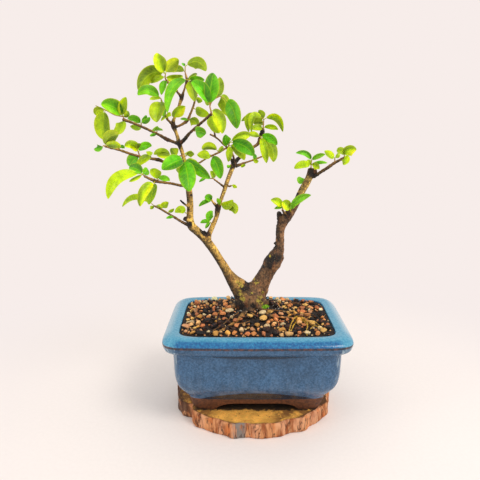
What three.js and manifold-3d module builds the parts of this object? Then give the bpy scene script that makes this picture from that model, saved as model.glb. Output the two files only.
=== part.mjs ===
// A Chinese privet bonsai in a glazed rectangular pot that stands on a slice of wood.
// Lengths are millimetres, +Z is up, +X is right and +Y is away from the viewer.
// The origin is on the pot's centre line, at the underside of the wood slice.
import * as THREE from "three";
import Module from "manifold-3d";

const wasm = await Module();
wasm.setup();

// Driving dimensions
const gap = 0.3; // clearance between pieces that touch
const eye = { x: -14.7, y: -417, z: 245 }; // where the plant is seen from, front on
const sliceTop = 13.7;
const slice = { x: -2.4, y: -1.6, halfWidth: 69, halfDepth: 58.8, sides: 44 };
const sliceEdges = [[0, 1.4], [1.4, 0.2], [6, 0.4], [12, 0], [sliceTop, 1]]; // height, inset
const barkWaves = [
  { height: 0.9, count: 13, start: 0.6, lean: 0 },
  { height: 0.7, count: 21, start: 2, lean: 0.1 },
  { height: 1.4, count: 2, start: 2.27, lean: 0 },
  { height: 1.1, count: 3, start: 1.17, lean: 0 },
];
const barkLumps = [
  { height: 2.8, at: -2.95, reach: 0.14 }, // loose flaps of bark on the left
  { height: 2.8, at: 2.95, reach: 0.14 },
  { height: -2.6, at: -2.62, reach: 0.07 }, // a notch beside the front flap
];
const potFoot = 14; // height of the surface that the pot's feet rest on
const potUnderside = 21;
const potFloor = 27;
const depthInset = 19.3; // how much shorter the pot's half depth is than its half width
const cornerPower = 10; // squareness of the pot's plan
const sideBow = 1.2; // how far the pot's long sides bow out at their middle
const potSides = 32;
const footGap = { halfWidth: 36, halfDepth: 18, rise: 20, fullness: 0.8, length: 180, below: 5 };
const drainHole = { radius: 6, x: 26, cutLength: 20, sides: 16 };
const screen = { side: 22, thickness: 0.8, hole: 6, pitch: 9 };
const soilEdge = 84.5;
const soilRim = 66.1; // half width of the soil's edge, just inside the pot's lip
const soilFoot = 56.2;
const mound = { x: -5, y: 14, height: 8, spreadX: 28, spreadY: 22 };
const gravelRelief = { rings: 11, height: 1.6, power: 3, seed: 3 };
const bladeThickness = 0.9; // along the rib; a blade thins out to its edges
const bladeFold = THREE.MathUtils.degToRad(14); // how far each half blade is folded up
const bladeArch = 0.12; // how far a blade arches towards the viewer, as a share of its length
const bladeRoot = 0.6; // how far a blade starts behind the middle of its stalk
const edgeOn = 90; // turn in degrees past which a blade shows its underside
const leastCosine = 0.35; // keeps a blade that is nearly edge on from growing too wide
const leafForm = { widest: 0.9, fullness: 0.75 }; // powers that shape a leaf's outline
const stalk = { radius: 0.75, taper: 0.25, sides: 3 };
const twigSides = 4;
const rootSides = { thick: 6, thin: 4, thickFrom: 2 };
const limbSides = [[6, 10], [2.9, 8], [1.9, 6], [0, 4]]; // over this radius, this many sides
const endDome = 0.5; // height of a limb's domed end as a share of its radius
const nearlyParallel = 0.1;

// Where along its length a blade has a cross section, for blades up to a length
const bladeSizes = [
  { upTo: 7, stations: [0.48] },
  { upTo: 13, stations: [0.32, 0.7] },
  { upTo: 24, stations: [0.2, 0.5, 0.8] },
  { upTo: 99, stations: [0.15, 0.38, 0.62, 0.85] },
];

// The pot's outer face from the feet up, over the rim and down to the soil: height, half width
const potOutside = [
  [potFoot, 56.4], [potUnderside, 58.8], [26, 60.2], [29.5, 62.4], [33, 65], [39.5, 68.8], [49.3, 70.9],
  [69.3, 71.8], [71.2, 73.6], [74.5, 77.8], [78.5, 79.3], [82, 79.3], [85.5, 75], [86.5, 71.3],
];
const potInside = [[85.5, 66.7], [80, 65.8], [49.3, 64.9], [38.8, 63.3], [31, 60.5], [potFloor, 55]];

// Wood, seen from the front. Each row is x, z, depth y and radius. A point further back is
// moved out along the line of sight, so that the tree looks the same from the front.
const trunkLimbs = {
  base: [
    [-6, 74, 14, 8.5], [-6, 84, 14, 11], [-6, 92, 14, 12.5], [-5.8, 100, 14, 13.8],
    [-5.6, 106, 14, 13.2], [-5, 111, 14, 11.5], [-5, 114.5, 14, 8.5],
  ],
  left: [
    [-7, 96, 14, 10.5], [-10, 106, 14, 10.5], [-15, 113, 14, 8.5], [-21, 120, 13.5, 6],
    [-25.5, 126.5, 13, 4.4], [-28.5, 132, 12.5, 4], [-33.4, 140, 11.5, 3.7], [-39.6, 150, 10, 3.8],
    [-46.5, 159, 8.5, 3.7], [-53, 165.5, 7, 3.7], [-57.5, 170, 6, 3.8], [-58.6, 177, 5, 3.1],
    [-58.2, 188, 3.5, 2.9], [-58.8, 200, 2, 2.8], [-60.3, 213, 0.5, 2.4], [-62.2, 225, -0.5, 1.9],
    [-63.8, 233, -0.5, 1.6], [-66.3, 240.5, 0, 2.1], [-67.4, 245.5, 1.5, 1.6],
    [-69, 250.5, 3, 1.5], [-70.5, 254.5, 4, 2.2], [-71.2, 258, 4.5, 1.9], [-69.5, 263, 5, 1.2],
    [-66, 271, 6, 1.2], [-63.2, 278.5, 7.5, 1.9],
  ],
  right: [
    [-5, 96, 14, 10], [-1, 106, 14.5, 10], [2.5, 114, 15, 8.6], [6.5, 122, 15.5, 7.4],
    [10.5, 129.5, 16, 7], [14.3, 136.5, 16, 7.8], [17.2, 142, 16, 6.9], [19.4, 147, 15.5, 5.2],
    [20.5, 152, 15, 4.1], [20.7, 160, 14.5, 3.8], [21.2, 168, 14, 4], [23, 174, 13.5, 4.9],
    [26.5, 178, 13, 4.6], [30.5, 183.5, 12.5, 3.6], [34.5, 190.5, 12, 3.2], [38.7, 200, 11.5, 3.2],
    [43.3, 208.5, 11, 3.15], [45.5, 214, 10.5, 3.1], [46.4, 219.5, 10, 2.8],
  ],
  middle: [
    [-43, 157, 8.5, 3], [-42.2, 162, 9, 2.5], [-38.7, 170, 11, 2.2], [-35.3, 178, 13, 2],
    [-34, 185, 15, 2.6], [-31.7, 192, 16.5, 1.7], [-28.7, 200, 18, 1.8], [-25.3, 210, 20, 1.9],
    [-21.8, 219, 22, 2], [-20.2, 223, 23, 2.5], [-19.2, 225.5, 23.5, 2],
  ],
  forkStub: [[22, 175, 13, 3.5], [19.8, 179, 13, 2.6], [19.4, 182.2, 13, 1.9]],
  rightBump: [[18.5, 153, 14, 2], [16.3, 154.6, 13, 1.2]],
  cutStub: [[36.5, 196, 12, 2], [34.8, 198.2, 11.5, 1]],
  leftKnob: [[-59.5, 174, 4, 1.6], [-63.6, 176.6, 2, 2.1]],
  deadTwig: [[-59.5, 186.5, 2, 0.9], [-63.5, 189.5, -1, 1], [-66.8, 192.6, -3, 0.8]],
  middleStub: [[-20.5, 224, 23, 1.4], [-22.3, 228, 21, 1.3]],
  spur: [[-34, 185.5, 15, 1.6], [-36, 188.3, 12, 1.5], [-38.2, 190.6, 9, 1]],
  spurTwig: [[-38.2, 190.6, 9, 0.9], [-40, 194.5, 9.5, 0.7], [-41.2, 198, 9.5, 0.7]],
  lowStub: [[-42, 162, 9, 1.1], [-44.5, 163.6, 7, 0.9], [-46.6, 165.6, 6, 0.7]],
  rightKnob: [[47, 216, 10.5, 2.4], [50.3, 218.8, 9.5, 2.4]],
};

// Surface roots: each row is x, y, how far the centre lies above the soil, and radius
const roots = {
  leftLong: [
    [-8, 4, 1, 2.4], [-16, -14, 0.2, 1.6], [-23.5, -23.5, 0.2, 1.3], [-32.5, -33.5, 0, 1],
    [-38, -39, -0.4, 0.8],
  ],
  rightLong: [
    [1, 5, 1, 2.6], [12, -7, 0.4, 1.6], [21, -9, 0.5, 1.4], [32, -8, 0.5, 1.3],
    [39, -8.5, 0.4, 1.2], [47, -5, 0, 1], [54, 0, -0.4, 0.8],
  ],
  thinFront: [
    [38, -8.6, 0.4, 1], [34.5, -16, 0.5, 0.9], [31, -25, 0.5, 0.8], [28.5, -34, 0, 0.7],
  ],
  thinRight: [
    [39, -8.6, 0.4, 1], [43.5, -19, 0.5, 0.9], [43, -32, 0.3, 0.8], [40, -37, -0.2, 0.7],
  ],
  leftFlare: [[-12, 13, 2.5, 5.5], [-19, 11, 0.4, 3.2], [-27, 7, 0, 2], [-36, 1, -0.6, 1.2]],
  backFlare: [[-5, 20, 2.5, 5], [-3, 29, 0.2, 2.6], [0, 39, -0.6, 1.4]],
  rightFlare: [[1, 15, 2.5, 5.5], [9, 18, 0.4, 3], [20, 25, -0.5, 1.5]],
  frontFlare: [[-6, 8, 2.5, 5.5], [-5, 0, 0.3, 3], [-3, -8, -0.6, 1.5]],
};

// Leafy stems. Twig rows are x, z, depth y, radius. A shoot's joints are x, z, depth y.
// Leaf rows are the joint that the leaf grows from, its tip's x, z and depth y, the
// width seen from the front, the sideways and upward bow of the midrib, and the blade's turn
// about its midrib in degrees: 0 faces the viewer, over 90 shows the underside.
const leafyStems = {
  left_high_stem: {
    twigs: [[
      [-66.5, 240.5, 0, 1.6], [-72, 242.6, 3, 1.3], [-77, 244.6, 5, 1.6], [-85, 249, 9, 1.1],
      [-97, 254.6, 14, 1.1], [-106, 258.3, 18, 1.05], [-113, 260.8, 21, 1.4],
    ]],
    shoots: [
      {
        joints: [
          [-113, 260.8, 21], [-113, 263, 20], [-120, 264.5, 22], [-127.5, 268.5, 24],
          [-135.5, 272, 26],
        ],
        leaves: [
          [3, -129, 243.5, 14, 14, -2, 1, 165], [0, -122.5, 249.5, 24, 9, 3, -1, 30],
          [1, -131, 273, 12, 12, 1, 3, 15], [3, -135.5, 264, 22, 7, -2, 1, 150],
          [1, -109.5, 279, 18, 8, -2.5, 0, 20], [1, -124, 275.5, 32, 7, 1, 3, 150],
          [1, -108.8, 268, 22, 4.5, 0.8, -0.5, 30],
        ],
      },
      {
        joints: [[-98, 255.2, 14.5], [-98, 257.5, 12.5]],
        leaves: [
          [1, -109.3, 261.5, 8, 6, 0.5, 1.5, 20], [0, -107.5, 255.3, 25, 5.5, 0.3, -1.2, 160],
          [1, -93, 264, 16, 4, 0, 0.5, 35], [1, -90.5, 262.8, 8, 4.5, 0.5, 0, 30],
        ],
      },
      {
        joints: [[-85.5, 249.2, 9], [-84.8, 251.3, 6]],
        leaves: [[1, -84.2, 255.4, -3, 9, 0, 0.8, 10], [0, -91.2, 247.3, 4, 3, 0, -0.3, 30]],
      },
    ],
  },
  left_low_stem: {
    twigs: [[
      [-61.5, 221.5, -0.5, 1.4], [-70, 224, -5, 1.2], [-80, 225.6, -10, 1.2],
      [-84.5, 227.3, -12, 1.5], [-92, 228.4, -15, 1.1], [-100, 230, -18, 1.1],
      [-108, 232.2, -20, 1.05], [-118, 235.6, -23, 1], [-129.5, 238.6, -26, 0.9],
    ]],
    shoots: [
      {
        joints: [[-129.5, 238.6, -26], [-131, 239.2, -26.5]],
        leaves: [
          [1, -138.5, 237, -28, 6.5, -0.5, -1.8, 40], [0, -117.3, 248.3, -34, 12, -2.5, 2.5, 160],
          [0, -116, 238, -33, 7, 1, 2.5, 30],
        ],
      },
      {
        joints: [[-118, 235.6, -23], [-117.3, 237, -24.5]],
        leaves: [[1, -113, 236.8, -27, 3.5, 0.3, 1.5, 20], [1, -119.5, 241, -22, 4, 0, 0, 150]],
      },
      {
        joints: [[-100.5, 230.1, -18], [-101.3, 233.5, -20], [-102.5, 236, -22]],
        leaves: [
          [1, -113, 238.5, -27, 8, 1, 3, 25], [1, -89.8, 238.7, -14, 7, -1, 3.2, 20],
          [2, -103.5, 240, -33, 9, 0, 0.5, 170], [0, -109.5, 221.5, -10, 10.5, -1, 1, 20],
        ],
      },
      {
        joints: [[-91, 228.3, -14.7], [-91, 230.2, -17]],
        leaves: [[1, -103.8, 221.3, -24, 7, 1, 2, 25], [1, -93.2, 234.5, -14, 5, 0, 0, 30]],
      },
    ],
  },
  left_drooping_stem: {
    twigs: [[
      [-59, 205, 1, 1.5], [-66, 205.3, -6, 1.2], [-74, 207, -13, 1.1], [-83, 208.2, -19, 1.2],
      [-88, 209.3, -22, 1.5], [-93, 211.3, -25, 1.1], [-97, 213.3, -27, 1],
    ]],
    shoots: [
      {
        joints: [[-88, 209.3, -22], [-88.5, 208.3, -25]],
        leaves: [
          [1, -102, 186.8, -36, 9.5, -2, 3, 15], [1, -94.3, 188.5, -16, 9, 0.5, 0.5, 155],
        ],
      },
      {
        joints: [[-97, 213.3, -27], [-98.5, 215, -28.5]],
        leaves: [
          [1, -129.6, 193.3, -34, 10.5, -5.5, 7.4, 20], [1, -110, 220.8, -24, 9, 0.5, 1.5, 25],
          [1, -110.5, 208.8, -30, 3.5, 0, -1, 30], [1, -94, 219.5, -24, 7, 0, 0, 20],
        ],
      },
      {
        joints: [[-85.5, 208.7, -20.5], [-85.6, 210.3, -21.5]],
        leaves: [
          [1, -90, 220, -16, 9, 0.3, 0, 25], [1, -75.3, 209.3, -24, 5.5, 0.5, 2.2, 25],
        ],
      },
    ],
  },
  left_lowest_stem: {
    twigs: [[
      [-60, 170.5, 5, 1.6], [-66, 173.5, 7, 1.2], [-73, 178, 11, 1], [-80, 182.3, 14, 0.9],
      [-85.5, 185.5, 17, 0.8], [-89.5, 187.6, 18, 0.8],
    ]],
    shoots: [
      {
        joints: [[-89.5, 187.6, 18], [-90, 188, 17]],
        leaves: [
          [1, -117.6, 186.5, 12, 5.5, -1.5, 8, 25], [1, -93.6, 185.4, 14, 3.6, 0, -0.8, 25],
        ],
      },
      {
        joints: [[-82.5, 183.7, 15.5], [-83, 185.2, 13.5]],
        leaves: [[1, -76.8, 190.6, 9, 6.5, -0.8, 0.8, 20], [1, -87, 188.5, 19, 4, 0, 0, 30]],
      },
      {
        joints: [[-78, 181, 13], [-77.6, 182, 12]],
        leaves: [[1, -72.3, 185.2, 9, 3.2, 0, -0.3, 25]],
      },
      {
        joints: [[-72.5, 177.7, 10.7], [-72.8, 177.8, 10]],
        leaves: [[1, -79.6, 176.5, 6, 2.8, 0, 0.3, 25]],
      },
    ],
  },
  crown_right_stem: {
    twigs: [[
      [-66.5, 240.5, 0, 1.5], [-62.6, 243.6, -3, 1.7], [-57, 249.8, -8, 1.2],
      [-50, 255.8, -13, 1.15], [-44, 260.8, -18, 1.1], [-38.6, 265.3, -22, 1.4],
    ]],
    shoots: [
      {
        joints: [
          [-38.6, 265.3, -22], [-39.3, 268.5, -23], [-39.8, 272, -24], [-37.5, 276, -25],
          [-31.5, 279.5, -25], [-26.5, 276.5, -24],
        ],
        leaves: [
          [2, -36.5, 298, -22, 13, -1, 1, 15], [3, -31.5, 295, -10, 9, 1.5, 0, 160],
          [2, -55, 291, -30, 11, 1, 3, 20], [1, -29.8, 249, -28, 11, 3, 3, 20],
          [0, -32.3, 249.3, -14, 8, -1, 0, 30], [4, -25.8, 263.5, -17, 11, 1.6, 2.5, 160],
          [5, -17.3, 253, -30, 13, 2, 3, 15], [2, -45, 285, -5, 8, 0, 0, 150],
          [3, -37, 290, 0, 8, 0, 0, 150],
        ],
      },
      {
        joints: [[-54.5, 252, -9.8], [-53.2, 251.3, -11]],
        leaves: [[1, -43.3, 249.3, -18, 10, 0.5, 0.5, 20]],
      },
    ],
  },
  upper_left_stem: {
    twigs: [[
      [-70.7, 255.5, 4, 1.2], [-74, 259, 2, 1], [-76.2, 261.6, 0, 0.9], [-78.5, 268.5, -3, 0.7],
      [-80.3, 276, -5, 0.8],
    ]],
    shoots: [
      {
        joints: [[-80.3, 276, -5], [-80.6, 277.6, -6]],
        leaves: [
          [1, -100, 280.3, -16, 9, -0.5, 5.5, 20], [1, -90.2, 277.2, -2, 3.6, 0, 0.6, 30],
          [0, -84.8, 258.3, -22, 13.5, -1, 0.5, 20], [0, -78.8, 262.5, -8, 6, 1, 0, 30],
        ],
      },
      {
        joints: [[-75.2, 260.6, 1], [-75.4, 262.3, -1.5]],
        leaves: [[1, -81.3, 259.6, 2, 2.6, 0, 1, 30], [1, -72.8, 266.3, -3, 4.2, -0.5, 0.5, 30]],
      },
    ],
  },
  upper_middle_stem: {
    twigs: [[
      [-70.5, 254.5, 4, 1.3], [-65.5, 255.8, 8, 1], [-59.2, 259.8, 13, 1.4],
      [-56.3, 265.5, 15, 0.9], [-54, 271, 17, 0.9], [-52.3, 276, 18, 0.8], [-50.6, 280.5, 19, 0.8],
    ]],
    shoots: [
      {
        joints: [[-59.2, 259.8, 13], [-58, 260.3, 11]],
        leaves: [[1, -51.2, 256.5, 6, 8.5, 0.8, 1.2, 160], [1, -65, 261.2, 14, 2.4, 0, 0.2, 30]],
      },
      {
        joints: [[-54.3, 270, 16.7], [-52.8, 269.5, 14]],
        leaves: [[1, -40.5, 265, 4, 8, 0, -0.2, 20]],
      },
      {
        joints: [[-52, 276.8, 18.2], [-51.6, 277, 17.6]],
        leaves: [[1, -46, 275.5, 14, 5, 0, 0.5, 25]],
      },
      {
        joints: [[-50.6, 280.5, 19], [-50.5, 281.3, 19.5]],
        leaves: [[1, -46, 286, 26, 6, 0, 0, 30], [1, -55, 288, 28, 7, 0, 0, 150]],
      },
    ],
  },
  crown_stem: {
    twigs: [
      [
        [-63.2, 278.5, 7.5, 1.7], [-66.5, 282.5, 5, 0.9], [-70.5, 286.5, 2, 0.8],
        [-74.5, 290.5, -1, 1], [-76, 292.5, -2, 0.9],
      ],
      [
        [-63.2, 278.5, 7.5, 1.5], [-61, 285, 10, 0.8], [-58.7, 291.6, 13, 1.2],
        [-59.6, 297, 15, 0.7],
      ],
    ],
    shoots: [
      {
        joints: [[-76, 292.5, -2], [-76.6, 295, -4], [-76.2, 297.5, -5.7]],
        leaves: [
          [2, -99.2, 283.5, -14.4, 13, -1.5, 6.5, 165], [1, -89, 290, -3, 5, 0, 1, 30],
          [2, -82, 313.6, -8, 11, -2, 0, 20], [2, -64.8, 308.3, -2, 11, -1, 1.5, 160],
          [1, -61.8, 295.6, 0, 7, 0, -1.5, 25], [0, -80.2, 280.5, -6, 6, 0, 1.5, 30],
        ],
      },
      {
        joints: [[-67, 283.2, 4.5], [-66.5, 284.2, 7]],
        leaves: [[1, -70.5, 284.5, 23, 8, 0, 0.5, 150]],
      },
      {
        joints: [[-58.7, 291.6, 13], [-57.3, 292.9, 4.3]],
        leaves: [
          [1, -44, 292.3, 2, 5.5, 0, 1, 20], [1, -75.6, 265.8, -20.4, 9, -4, 7, 25],
          [1, -52.8, 275.3, 2, 9, 0.5, 1.5, 150], [0, -50, 297.2, 20, 4, 0, 1, 30],
        ],
      },
      {
        joints: [[-59.6, 297, 15], [-60, 299, 15.5], [-59.8, 303.2, 16]],
        leaves: [
          [2, -43, 299.3, 10, 10.5, 1.5, 5.5, 150], [2, -62, 306, 19, 2.6, -0.3, 0, 30],
          [1, -71.5, 299.5, 6, 6, 0, 1.5, 155],
        ],
      },
    ],
  },
  right_cluster_stem: {
    twigs: [[
      [-19, 224.5, 23.5, 1.6], [-16.2, 228.2, 25, 1.7], [-10, 233, 27, 1.2], [-4, 237.5, 30, 1.1],
      [0.8, 241, 32, 1.4], [2.2, 246.5, 33, 1.2], [4.2, 250.3, 34, 2], [4.8, 254, 34, 0.9],
    ]],
    shoots: [
      {
        joints: [[4.8, 254, 34], [5.2, 258.5, 34.3], [5.3, 260.8, 34.5]],
        leaves: [
          [2, 21.6, 250.3, 26, 6.5, 3.1, 7, 25], [0, 17.6, 252.3, 30, 4.6, 0.5, 1.8, 25],
          [2, -4.8, 250, 24, 6, -3.7, 8, 25], [2, 1, 268.5, 38, 6, 0, 0, 150],
          [1, -7.2, 250.2, 36, 7, -5, 8, 150], [1, -4, 258.5, 33, 6.5, 0, 0.8, 155],
          [0, -5, 253, 28, 6, 0, 0.5, 25], [1, -13.6, 259.3, 44, 5.5, 0, 3.5, 150],
          [1, -3, 257, 50, 7, 0, 0, 150],
        ],
      },
      {
        joints: [[2.2, 246.5, 33], [2.4, 246.8, 30]],
        leaves: [
          [1, -8.2, 249, 26, 5, 0, 0.5, 20], [1, 16.8, 239.5, 22, 8, 1.5, 2.5, 20],
          [1, 8, 224.3, 18, 7.5, 1.2, 1, 20], [1, 13.8, 225.3, 30, 10.5, 4, 1.5, 160],
        ],
      },
    ],
  },
  right_thin_stem: {
    twigs: [[
      [-20, 223, 23, 1.5], [-17.5, 222.3, 24, 1.5], [-10, 224.9, 28, 0.8], [-4, 226.9, 31, 0.75],
      [2, 229.2, 34, 0.7], [5.2, 230.4, 36, 0.6],
    ]],
    shoots: [
      {
        joints: [[-3.5, 227.1, 31.3], [-3.3, 228, 30]],
        leaves: [[1, 1.2, 225.8, 30, 3.6, 0, -0.5, 25], [1, -1.5, 232, 33, 4, 0, 0, 25]],
      },
      {
        joints: [[-10.5, 224.7, 27.7], [-10.8, 224.3, 27]],
        leaves: [[1, -13.8, 221, 25, 4.6, 0, 0, 25]],
      },
    ],
  },
  centre_stem: {
    twigs: [
      [
        [-20, 224.5, 22.5, 1.3], [-20.5, 230.5, 17, 0.9], [-24.8, 237.2, 10, 0.9],
        [-32, 233.8, 6, 0.8], [-39.5, 230.4, 2, 0.8], [-44.5, 227.8, 0, 0.7],
        [-49.3, 224.8, -2, 0.8],
      ],
      [
        [-24.8, 237.2, 10, 0.8], [-29, 240.5, 7, 0.75], [-32.5, 244, 4, 0.7],
        [-36, 246.6, 2, 0.8], [-40, 248.6, 0, 0.8],
      ],
      [[-35.8, 246.8, 2, 0.8], [-36.3, 250, 0, 0.7], [-37.8, 253.5, -2, 0.6]],
    ],
    shoots: [
      {
        joints: [[-49.3, 224.8, -2], [-50.2, 225, -2.5]],
        leaves: [[1, -59, 228.8, -6, 2.8, 0, -0.8, 40]],
      },
      {
        joints: [[-39.5, 230.4, 2], [-39.8, 231.5, 0]],
        leaves: [[1, -51.5, 231.5, -10, 8, 0.5, -0.5, 20], [0, -31.8, 211, -4, 11, 1.5, 2, 15]],
      },
      {
        joints: [[-33, 233.4, 5.6], [-33.5, 234.6, 3.5]],
        leaves: [[1, -47.3, 236.3, -8, 7, 0, 3, 165], [1, -28.8, 238.3, 7, 4, 0, 0, 30]],
      },
      {
        joints: [[-24.8, 237.2, 10], [-24.3, 239.5, 5], [-23.5, 242, 1]],
        leaves: [
          [2, -3, 230.5, -10, 12, 2.5, 2.5, 10], [2, -6, 247, 8, 8, 1.5, 3, 20],
          [1, -11, 226.8, -4, 8.5, 2.5, 2, 20], [1, -26.5, 248.5, -3, 8, -1.5, 0, 25],
          [1, -24.8, 225.5, 3, 6, 1, 0.5, 25],
        ],
      },
      {
        joints: [[-37.8, 253.5, -2], [-38.2, 254.8, -3]],
        leaves: [[1, -42, 261.5, -8, 4.5, -0.5, -1, 25], [1, -34, 256, 4, 4, 0, 0, 30]],
      },
      {
        joints: [[-22, 233, 14], [-21, 234, 18]],
        leaves: [[1, -12, 240, 45, 8, 0, 0, 150], [1, -22, 236, 42, 8, 0, 0, 150]],
      },
    ],
  },
  leader_left_shoot: {
    twigs: [],
    shoots: [{
      joints: [[-63.3, 231, -0.5], [-68, 230.3, -7], [-73.5, 230.8, -12]],
      leaves: [
        [2, -88.5, 231.8, -24, 6, 0, 3, 165], [1, -72.5, 237.3, -5, 8, -1, 0.5, 160],
        [2, -86, 231, -15, 4.5, 1, -0.8, 20], [2, -74, 226.8, -14, 5, 0.5, 0, 20],
      ],
    }],
  },
  leader_right_shoot: {
    twigs: [],
    shoots: [{
      joints: [[-63, 229.8, -0.5], [-60.3, 230.8, 1]],
      leaves: [[1, -53.8, 231.6, 4, 5.5, 0, 1, 160], [1, -56, 235, 14, 6, 0, 0, 150]],
    }],
  },
  leader_front_shoot: {
    twigs: [],
    shoots: [{
      joints: [[-62.4, 226, -0.7], [-63, 227.5, -6], [-62.6, 228, -11]],
      leaves: [
        [2, -59, 200, -32, 16, 1, 0, 10], [2, -82, 219, -27, 13, 0, 1, 15],
        [1, -40.3, 211, -20, 10, 0.7, 1.3, 25],
      ],
    }],
  },
  leader_back_shoot: {
    twigs: [],
    shoots: [{
      joints: [[-60.3, 213, 0.5], [-61, 215, 8]],
      leaves: [[1, -70, 219, 22, 8, 0, 0, 150], [1, -62, 207, 20, 8, 0, 0, 150]],
    }],
  },
  leader_high_shoot: {
    twigs: [],
    shoots: [{
      joints: [[-71.2, 258.5, 4.5], [-70.6, 261.5, 0]],
      leaves: [[1, -60.3, 271.3, -6, 9, -1.2, 1.2, 25]],
    }],
  },
  leader_low_shoot: {
    twigs: [],
    shoots: [{
      joints: [[-58.6, 181, 4.5], [-62.5, 181.3, 0]],
      leaves: [[1, -71.8, 181.8, -4, 7, 1, 2.5, 20]],
    }],
  },
  spur_left_shoot: {
    twigs: [],
    shoots: [{
      joints: [[-38.2, 190.6, 9], [-39.7, 192, 7]],
      leaves: [[1, -45.5, 194.5, 4, 7, 0.5, 1, 20], [1, -50.7, 187, 2, 4, 0, 1.2, 25]],
    }],
  },
  spur_right_shoot: {
    twigs: [],
    shoots: [{
      joints: [[-33.2, 187, 15.5], [-31.6, 188.3, 11.5]],
      leaves: [
        [1, -20.8, 193, 6, 8, 0, -2, 25], [1, -19.3, 180.3, 4, 9, 4.1, 3.3, 160],
        [1, -34.5, 194.5, 10, 4, -0.5, 0, 30],
      ],
    }],
  },
  middle_low_shoot: {
    twigs: [],
    shoots: [{
      joints: [[-38.4, 171, 11.3], [-41, 173, 7]],
      leaves: [
        [1, -38.5, 183, 6, 7, -2, 1, 20], [1, -49.7, 172.5, 3, 4, 0, 1, 25],
        [1, -45.2, 167.5, 4, 3.2, 0, 0, 25],
      ],
    }],
  },
  middle_right_shoot: {
    twigs: [[[-26.6, 206, 19, 0.8], [-24, 204.6, 18, 0.8], [-22.4, 205.2, 17.5, 0.7]]],
    shoots: [{
      joints: [[-22.4, 205.2, 17.5], [-21.6, 205.3, 17.3]],
      leaves: [[1, -17.3, 203.3, 16, 3.4, 0, 0.6, 25]],
    }],
  },
  middle_left_shoot: {
    twigs: [[[-28.4, 204, 18.5, 1], [-33, 207.6, 14, 0.75], [-37, 210.6, 10, 0.7]]],
    shoots: [{
      joints: [[-37, 210.6, 10], [-38, 211.3, 9], [-44, 211.5, 6]],
      leaves: [[1, -40.2, 217.8, 8, 5, 1, 0, 25], [2, -50, 208.3, 4, 2.6, 0, 0.3, 30]],
    }],
  },
  middle_top_shoot: {
    twigs: [],
    shoots: [{
      joints: [[-21.8, 223.5, 22.8], [-23.2, 222.6, 19.5]],
      leaves: [[1, -25.6, 220.4, 18, 3.4, 0, 0, 25]],
    }],
  },
  right_fork_shoot: {
    twigs: [],
    shoots: [{
      joints: [[29.5, 181.5, 12.5], [29.8, 182.5, 8], [29.5, 184, 5]],
      leaves: [
        [2, 21.8, 190.8, 0, 9, -0.5, 1, 20], [2, 47.2, 197, -4, 7, -2.4, 3, 20],
        [2, 33, 193, 2, 4.5, 0, 0, 25],
      ],
    }],
  },
  right_inner_shoot: {
    twigs: [[[26, 179, 11, 1.2], [24, 181.6, 8, 1.1], [22.3, 184, 6, 0.9]]],
    shoots: [{
      joints: [[22.3, 184, 6], [22.8, 186, 5]],
      leaves: [[1, 12, 192.6, 0, 7, 1, 1.5, 20], [1, 15.3, 185, 4, 3, 0, 0.3, 30]],
    }],
  },
  right_top_shoot: {
    twigs: [],
    shoots: [{
      joints: [[46.4, 219, 10], [46.3, 223, 9], [46.6, 226.5, 8]],
      leaves: [
        [2, 32.8, 233, 2, 5, 2, 2.5, 20], [2, 58.2, 231.8, 4, 4.6, -1, 1.3, 20],
        [1, 60.3, 224.5, 2, 3.2, 0, 1.5, 30], [1, 53.3, 219.3, 2, 6, 1, 1, 25],
        [1, 31.8, 219.8, 4, 7, 0, 1.5, 20], [1, 43.2, 227.5, 12, 4, 0, 0, 30],
      ],
    }],
  },
  right_side_stem: {
    twigs: [[
      [46.3, 213, 10.5, 2], [49.6, 213.8, 10, 2], [53, 215.7, 9, 1.4], [60, 220.2, 6, 1.35],
      [67, 225, 3, 1.25], [74.3, 229, 0, 1.1],
    ]],
    shoots: [
      {
        joints: [[66.5, 224.7, 3.2], [66.4, 229, 1]],
        leaves: [[1, 57.3, 235, -4, 6, 0, -0.5, 20], [1, 70.5, 233, 8, 4, 0, 0, 30]],
      },
      {
        joints: [[74.3, 229, 0], [74.5, 230.5, -0.5]],
        leaves: [
          [1, 84.6, 235.6, -6, 10, -1.5, 2.2, 15], [1, 73.8, 222.8, -7, 7, 2, 0.5, 20],
          [1, 67.6, 234.8, 4, 6, 0.5, 1.8, 25],
        ],
      },
    ],
  },
  right_back_shoot: {
    twigs: [],
    shoots: [{
      joints: [[41, 205, 13.5], [39.5, 206.5, 18]],
      leaves: [[1, 37.3, 212.8, 21, 7, -0.8, 0, 20]],
    }],
  },
};

const looks = {
  bark: { color: 0x8a6038, roughness: 0.85, metalness: 0 },
  leaf: { color: 0x86c80a, roughness: 0.45, metalness: 0 },
  glaze: { color: 0x42698c, roughness: 0.2, metalness: 0 },
  soil: { color: 0x6b5236, roughness: 0.95, metalness: 0 },
  slice: { color: 0x9a6038, roughness: 0.8, metalness: 0 },
  screen: { color: 0x1d2a22, roughness: 0.6, metalness: 0 },
};

// A repeatable draw of numbers from 0 to 1
function draws(seed) {
  let state = seed;
  return () => {
    state = (state * 1664525 + 1013904223) % 4294967296;
    return state / 4294967296;
  };
}

function depthScale(y) {
  return (y - eye.y) / -eye.y;
}

// The real place of a point seen from the front at x, z and lying at depth y
function place([x, z, y]) {
  const k = depthScale(y);
  return new THREE.Vector3(eye.x + (x - eye.x) * k, y, eye.z + (z - eye.z) * k);
}

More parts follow.
